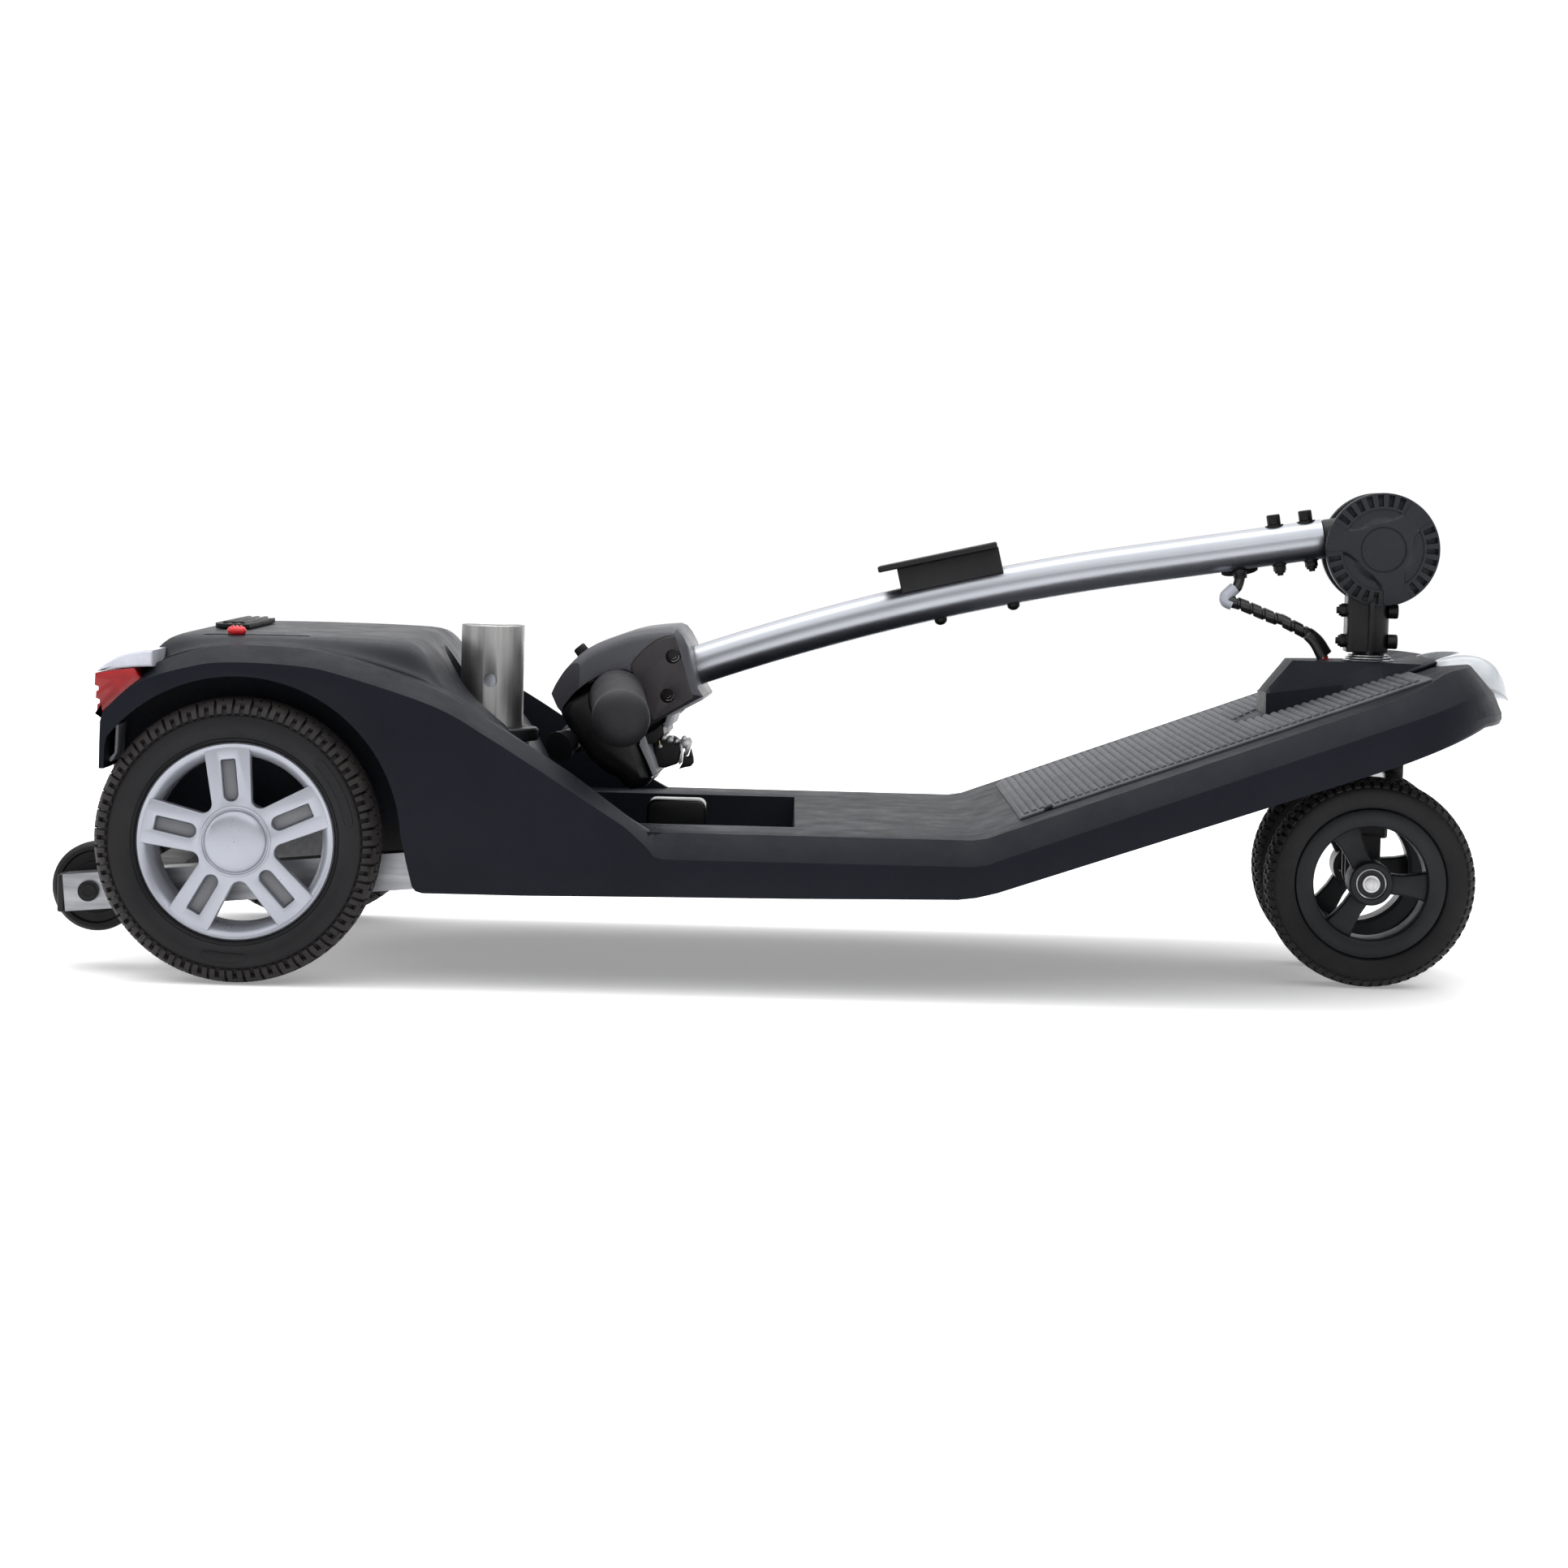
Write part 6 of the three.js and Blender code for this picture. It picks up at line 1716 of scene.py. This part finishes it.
def make_throttle():
    out = Vector((-0.83, 0, -0.557)).normalized()
    pivot = Vector((-154.2, 0, 158.4))
    half = [pivot + out * 11.0, pivot + out * 11.4 + Vector((0, -18, 0)),
            pivot + out * 10.0 + Vector((0, -34, 0)), pivot + out * 9.0 + Vector((0, -45, 0)),
            pivot + out * 13.0 + Vector((-1.0, -55, -0.6))]
    route = smooth_line([Vector((p.x, -p.y, p.z)) for p in reversed(half[1:])] + half, 7)
    count = len(route)
    radii = []
    for k in range(count):
        share = abs(2 * k / (count - 1) - 1)
        radii.append(7.2 + 1.2 * (1 - share) + (4.0 * max(share - 0.62, 0) / 0.38 if share > 0.62 else 0.0))
    lever = swept([Vector(p) for p in route], radii, 32)
    build("throttle_bowed_lever", lever, BLACK, "throttle", ("throttle_lever",), bevel=1.4, segments=3)
    stalk = rod(pivot - out * 6, pivot + out * 9.5, 6.4, 5.6, 32, rings=((0.3, 7.4), (0.4, 6.0)))
    build("throttle_stalk", stalk, STEEL_BLACK, "throttle")
    boot = []
    for k in range(9):
        boot.append((k / 8, 11.5 - 4.2 * k / 8 + (0.9 if k % 2 else 0.0)))
    build("throttle_boot", rod(pivot - out * 5.5, pivot + out * 3.4, 12, 7.2, 40, rings=boot[1:-1]),
          MAT_RUBBER, "tiller")


def make_dial():
    out = Vector((-0.643, 0, 0.765)).normalized()
    foot = Vector((-152.9, -20.0, 215.5))
    rows = []
    across = out.cross(Vector((0, 1, 0))).normalized()
    side = out.cross(across)
    for at, grow in ((-2.0, 4.2), (0.7, 4.2), (1.0, 4.9), (5.4, 4.7), (6.4, 4.2), (6.7, 3.2), (6.4, 2.4)):
        ring = []
        for k in range(72):
            a = k / 72 * TAU
            r = grow - (0.45 if k % 4 in (0, 1) and 0.8 < at < 5.6 else 0.0)
            ring.append(foot + out * at + across * (r * math.cos(a)) + side * (r * math.sin(a)))
        rows.append(ring)
    build("dial_knurled", capped(rows), BLACK, "dial", ("speed_dial",), smooth=30)
    seat = revolved([(4.6, -0.6), (7.0, -0.6), (7.0, 0.5), (6.4, 0.9), (4.9, 0.9)], foot, 48, axis=tuple(out))
    build("dial_seat", seat, BLACK, "tiller")


def make_hook():
    """Bag hook on a black carrier under the console, with a torsion spring and its zinc hardware."""
    carrier = [(-98.6, 158.4), (-96.4, 160.4), (-84.6, 160.2), (-80.2, 156.0), (-79.2, 150.0), (-81.4, 141.4),
               (-90.0, 138.2), (-96.4, 138.8), (-98.4, 142.0)]
    console_piece("hook_carrier", rounded_prism(carrier, -21, 5, 1.4), BLACK, ("bag_hook",), bevel=0.4)
    arm = [(-80.8, 158.6), (-73.2, 160.4), (-71.4, 157.2), (-72.6, 153.0), (-74.6, 147.2), (-76.2, 147.0),
           (-76.6, 152.0), (-78.0, 152.2), (-78.6, 142.0), (-80.8, 140.0)]
    console_piece("hook_steel_plate", prism(arm, -13.0, -10.6), STEEL, bevel=0.2)
    tip = [(-78.2, 141.6), (-77.2, 150.6), (-75.6, 146.2), (-73.6, 147.0), (-72.2, 152.6), (-70.4, 146.2),
           (-70.0, 142.2), (-72.0, 139.6), (-76.6, 138.6), (-80.6, 137.4)]
    console_piece("hook_tip", prism(tip, -15.5, -8.0), BLACK, bevel=0.5)
    bolt = rod((-77.6, -13.6, 159.4), (-77.6, -4.0, 159.4), 1.7, 1.7, 20)
    bolt.join(rod((-91.0, -26.0, 160.4), (-91.0, 12.0, 160.4), 1.9, 1.9, 24,
                  rings=((0.03, 2.4), (0.06, 2.4), (0.07, 1.9))))
    bolt.join(rod((-86.6, -22.0, 158.6), (-86.6, -12.0, 158.6), 2.6, 2.6, 6))
    bolt.join(rod((-85.8, -17.0, 157.0), (-83.6, -17.0, 150.6), 1.1, 1.1, 16))
    bolt.join(rod((-93.6, -23.0, 153.8), (-93.6, -15.0, 153.8), 1.5, 1.5, 20))
    console_piece("hook_hardware", bolt, STEEL, bevel=0.2)
    turns, coil_r = 6.0, 2.9
    centre = Vector((-97.8, -30.0, 161.4))
    coil = [centre + Vector((coil_r * math.cos(k / 16 * TAU), 1.6 * k / 16, coil_r * math.sin(k / 16 * TAU)))
            for k in range(int(turns * 16) + 1)]
    coil = [coil[0] + Vector((2, 0, -7))] + coil + [coil[-1] + Vector((6, 1, -5))]
    console_piece("hook_spring", swept(coil, 0.55, 10), SPRING)
    ball = capped([[(-82.4 + 3.0 * math.sin(a) * math.cos(b), -20.0 + 3.0 * math.cos(a),
                     157.6 + 3.0 * math.sin(a) * math.sin(b)) for b in [k / 24 * TAU for k in range(24)]]
                   for a in [rad(6 + 168 * j / 12) for j in range(13)]])
    console_piece("hook_catch", ball, STEEL)


# ---------------------------------------------------------------- CAD pieces kept as they are
CARRIED_OVER = {"frame_rail_right": RAIL, "frame_rail_left": RAIL, "rear_cross_tube": BLACK_PAINT,
                "middle_cross_tube": BLACK_PAINT, "front_cross_bracket": BLACK_PAINT,
                "transaxle_housing": CAST, "motor_controller": BLACK, "anti_tip_bolt_right": STEEL_BLACK,
                "anti_tip_bolt_left": STEEL_BLACK, "half_shaft_right": STEEL, "half_shaft_left": STEEL,
                "front_axle": STEEL,}


def dress_carried_over():
    for name, material in CARRIED_OVER.items():
        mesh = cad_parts[name].data
        if mesh.materials:
            for k in range(len(mesh.materials)):
                mesh.materials[k] = material
        else:
            mesh.materials.append(material)


def make_head_tube():
    profile = [(13.0, 140.0), (16.2, 140.0), (17.0, 140.8), (17.0, 223.7), (16.2, 224.5), (13.0, 224.5)]
    build("head_tube_turned", upright(profile, STEER_X, 80), STEEL, "chassis", ("head_tube",),
          slot="silver_paint", smooth=30)
    ear = rounded_box(STEER_X + 15, STEER_X + 27, -9.0, 3.0, 142.0, 153.0, 2.0, 0.8)
    ear.join(rod((STEER_X + 21, -12.5, 149), (STEER_X + 21, -8, 149), 4.2, 4.2, 6))
    ear.join(rod((STEER_X + 21, 2.5, 149), (STEER_X + 21, 8.5, 149), 4.2, 4.0, 24))
    build("head_tube_stop", ear, STEEL_BLACK, "chassis", bevel=0.4)


def make_motor():
    low, high = span("drive_motor")
    radius = (high[0] - low[0]) / 2
    x, z = (low[0] + high[0]) / 2, (low[2] + high[2]) / 2
    y0, y1 = low[1], high[1]
    rings = []
    for at, r in ((0.0, 0.86), (0.02, 0.94), (0.08, 0.94), (0.09, 0.985), (0.10, 0.985)):
        rings.append((at, radius * r))
    fins = 14
    for k in range(fins):
        a = 0.14 + 0.72 * k / fins
        for step, r in ((0.0, 0.99), (0.018, 0.99), (0.020, 0.93), (0.046, 0.93)):
            rings.append((a + step, radius * r))
    rings += [(0.90, radius * 0.985), (0.97, radius * 0.985), (0.985, radius * 0.90)]
    body = rod((x, y0, z), (x, y1, z), radius * 0.80, radius * 0.84, 72, rings=rings[1:])
    build("drive_motor_finned", body, BLACK_PAINT, "chassis", ("drive_motor",), slot="cast_alloy", smooth=36)
    screws = Shape()
    for k in range(4):
        a = rad(45 + 90 * k)
        sx, sz = x + radius * 0.66 * math.cos(a), z + radius * 0.66 * math.sin(a)
        for y, tip in ((y0 + 0.6, y0 - 2.4), (y1 - 0.6, y1 + 2.4)):
            screws.join(rod((sx, y, sz), (sx, tip, sz), 3.2, 2.9, 24))
    build("drive_motor_screws", screws, STEEL, "chassis", bevel=0.2)


def make_arch_wires():
    """Motor and brake leads looped under the rear cover."""
    for k, (material, lift) in enumerate(((BLACK, 0.0), (RED_WIRE, 3.0), (BLACK, 6.0), (RED_WIRE, -3.0))):
        y = -118.0 - 3.0 * k
        line = smooth_line([(-300.0, y + 40, 128.0 + lift), (-288.0, y + 8, 134.0 + lift),
                            (-272.0, y, 122.0 + lift), (-262.0, y + 2, 108.0 + lift),
                            (-256.0, y + 12, 98.0 + lift)], 7)
        build("arch_lead_%d" % k, swept(line, 1.7, 12), material, "chassis", slot="black_plastic")


# ---------------------------------------------------------------- run
make_camera()
make_studio()
make_body()
make_rear_wheels()
make_front_wheels()
make_anti_tip()
make_tiller_tube()
make_hinge()
make_stem()
make_fork()
make_cable()
make_rear_cover()
make_tail_lights()
make_seat_tube()
make_connector()
make_mat()
make_front_shroud()
make_nose_light()
make_crown()
make_lower_console()
make_bar_and_grips()
make_throttle()
make_dial()
make_hook()
dress_carried_over()
make_head_tube()
make_motor()
make_arch_wires()
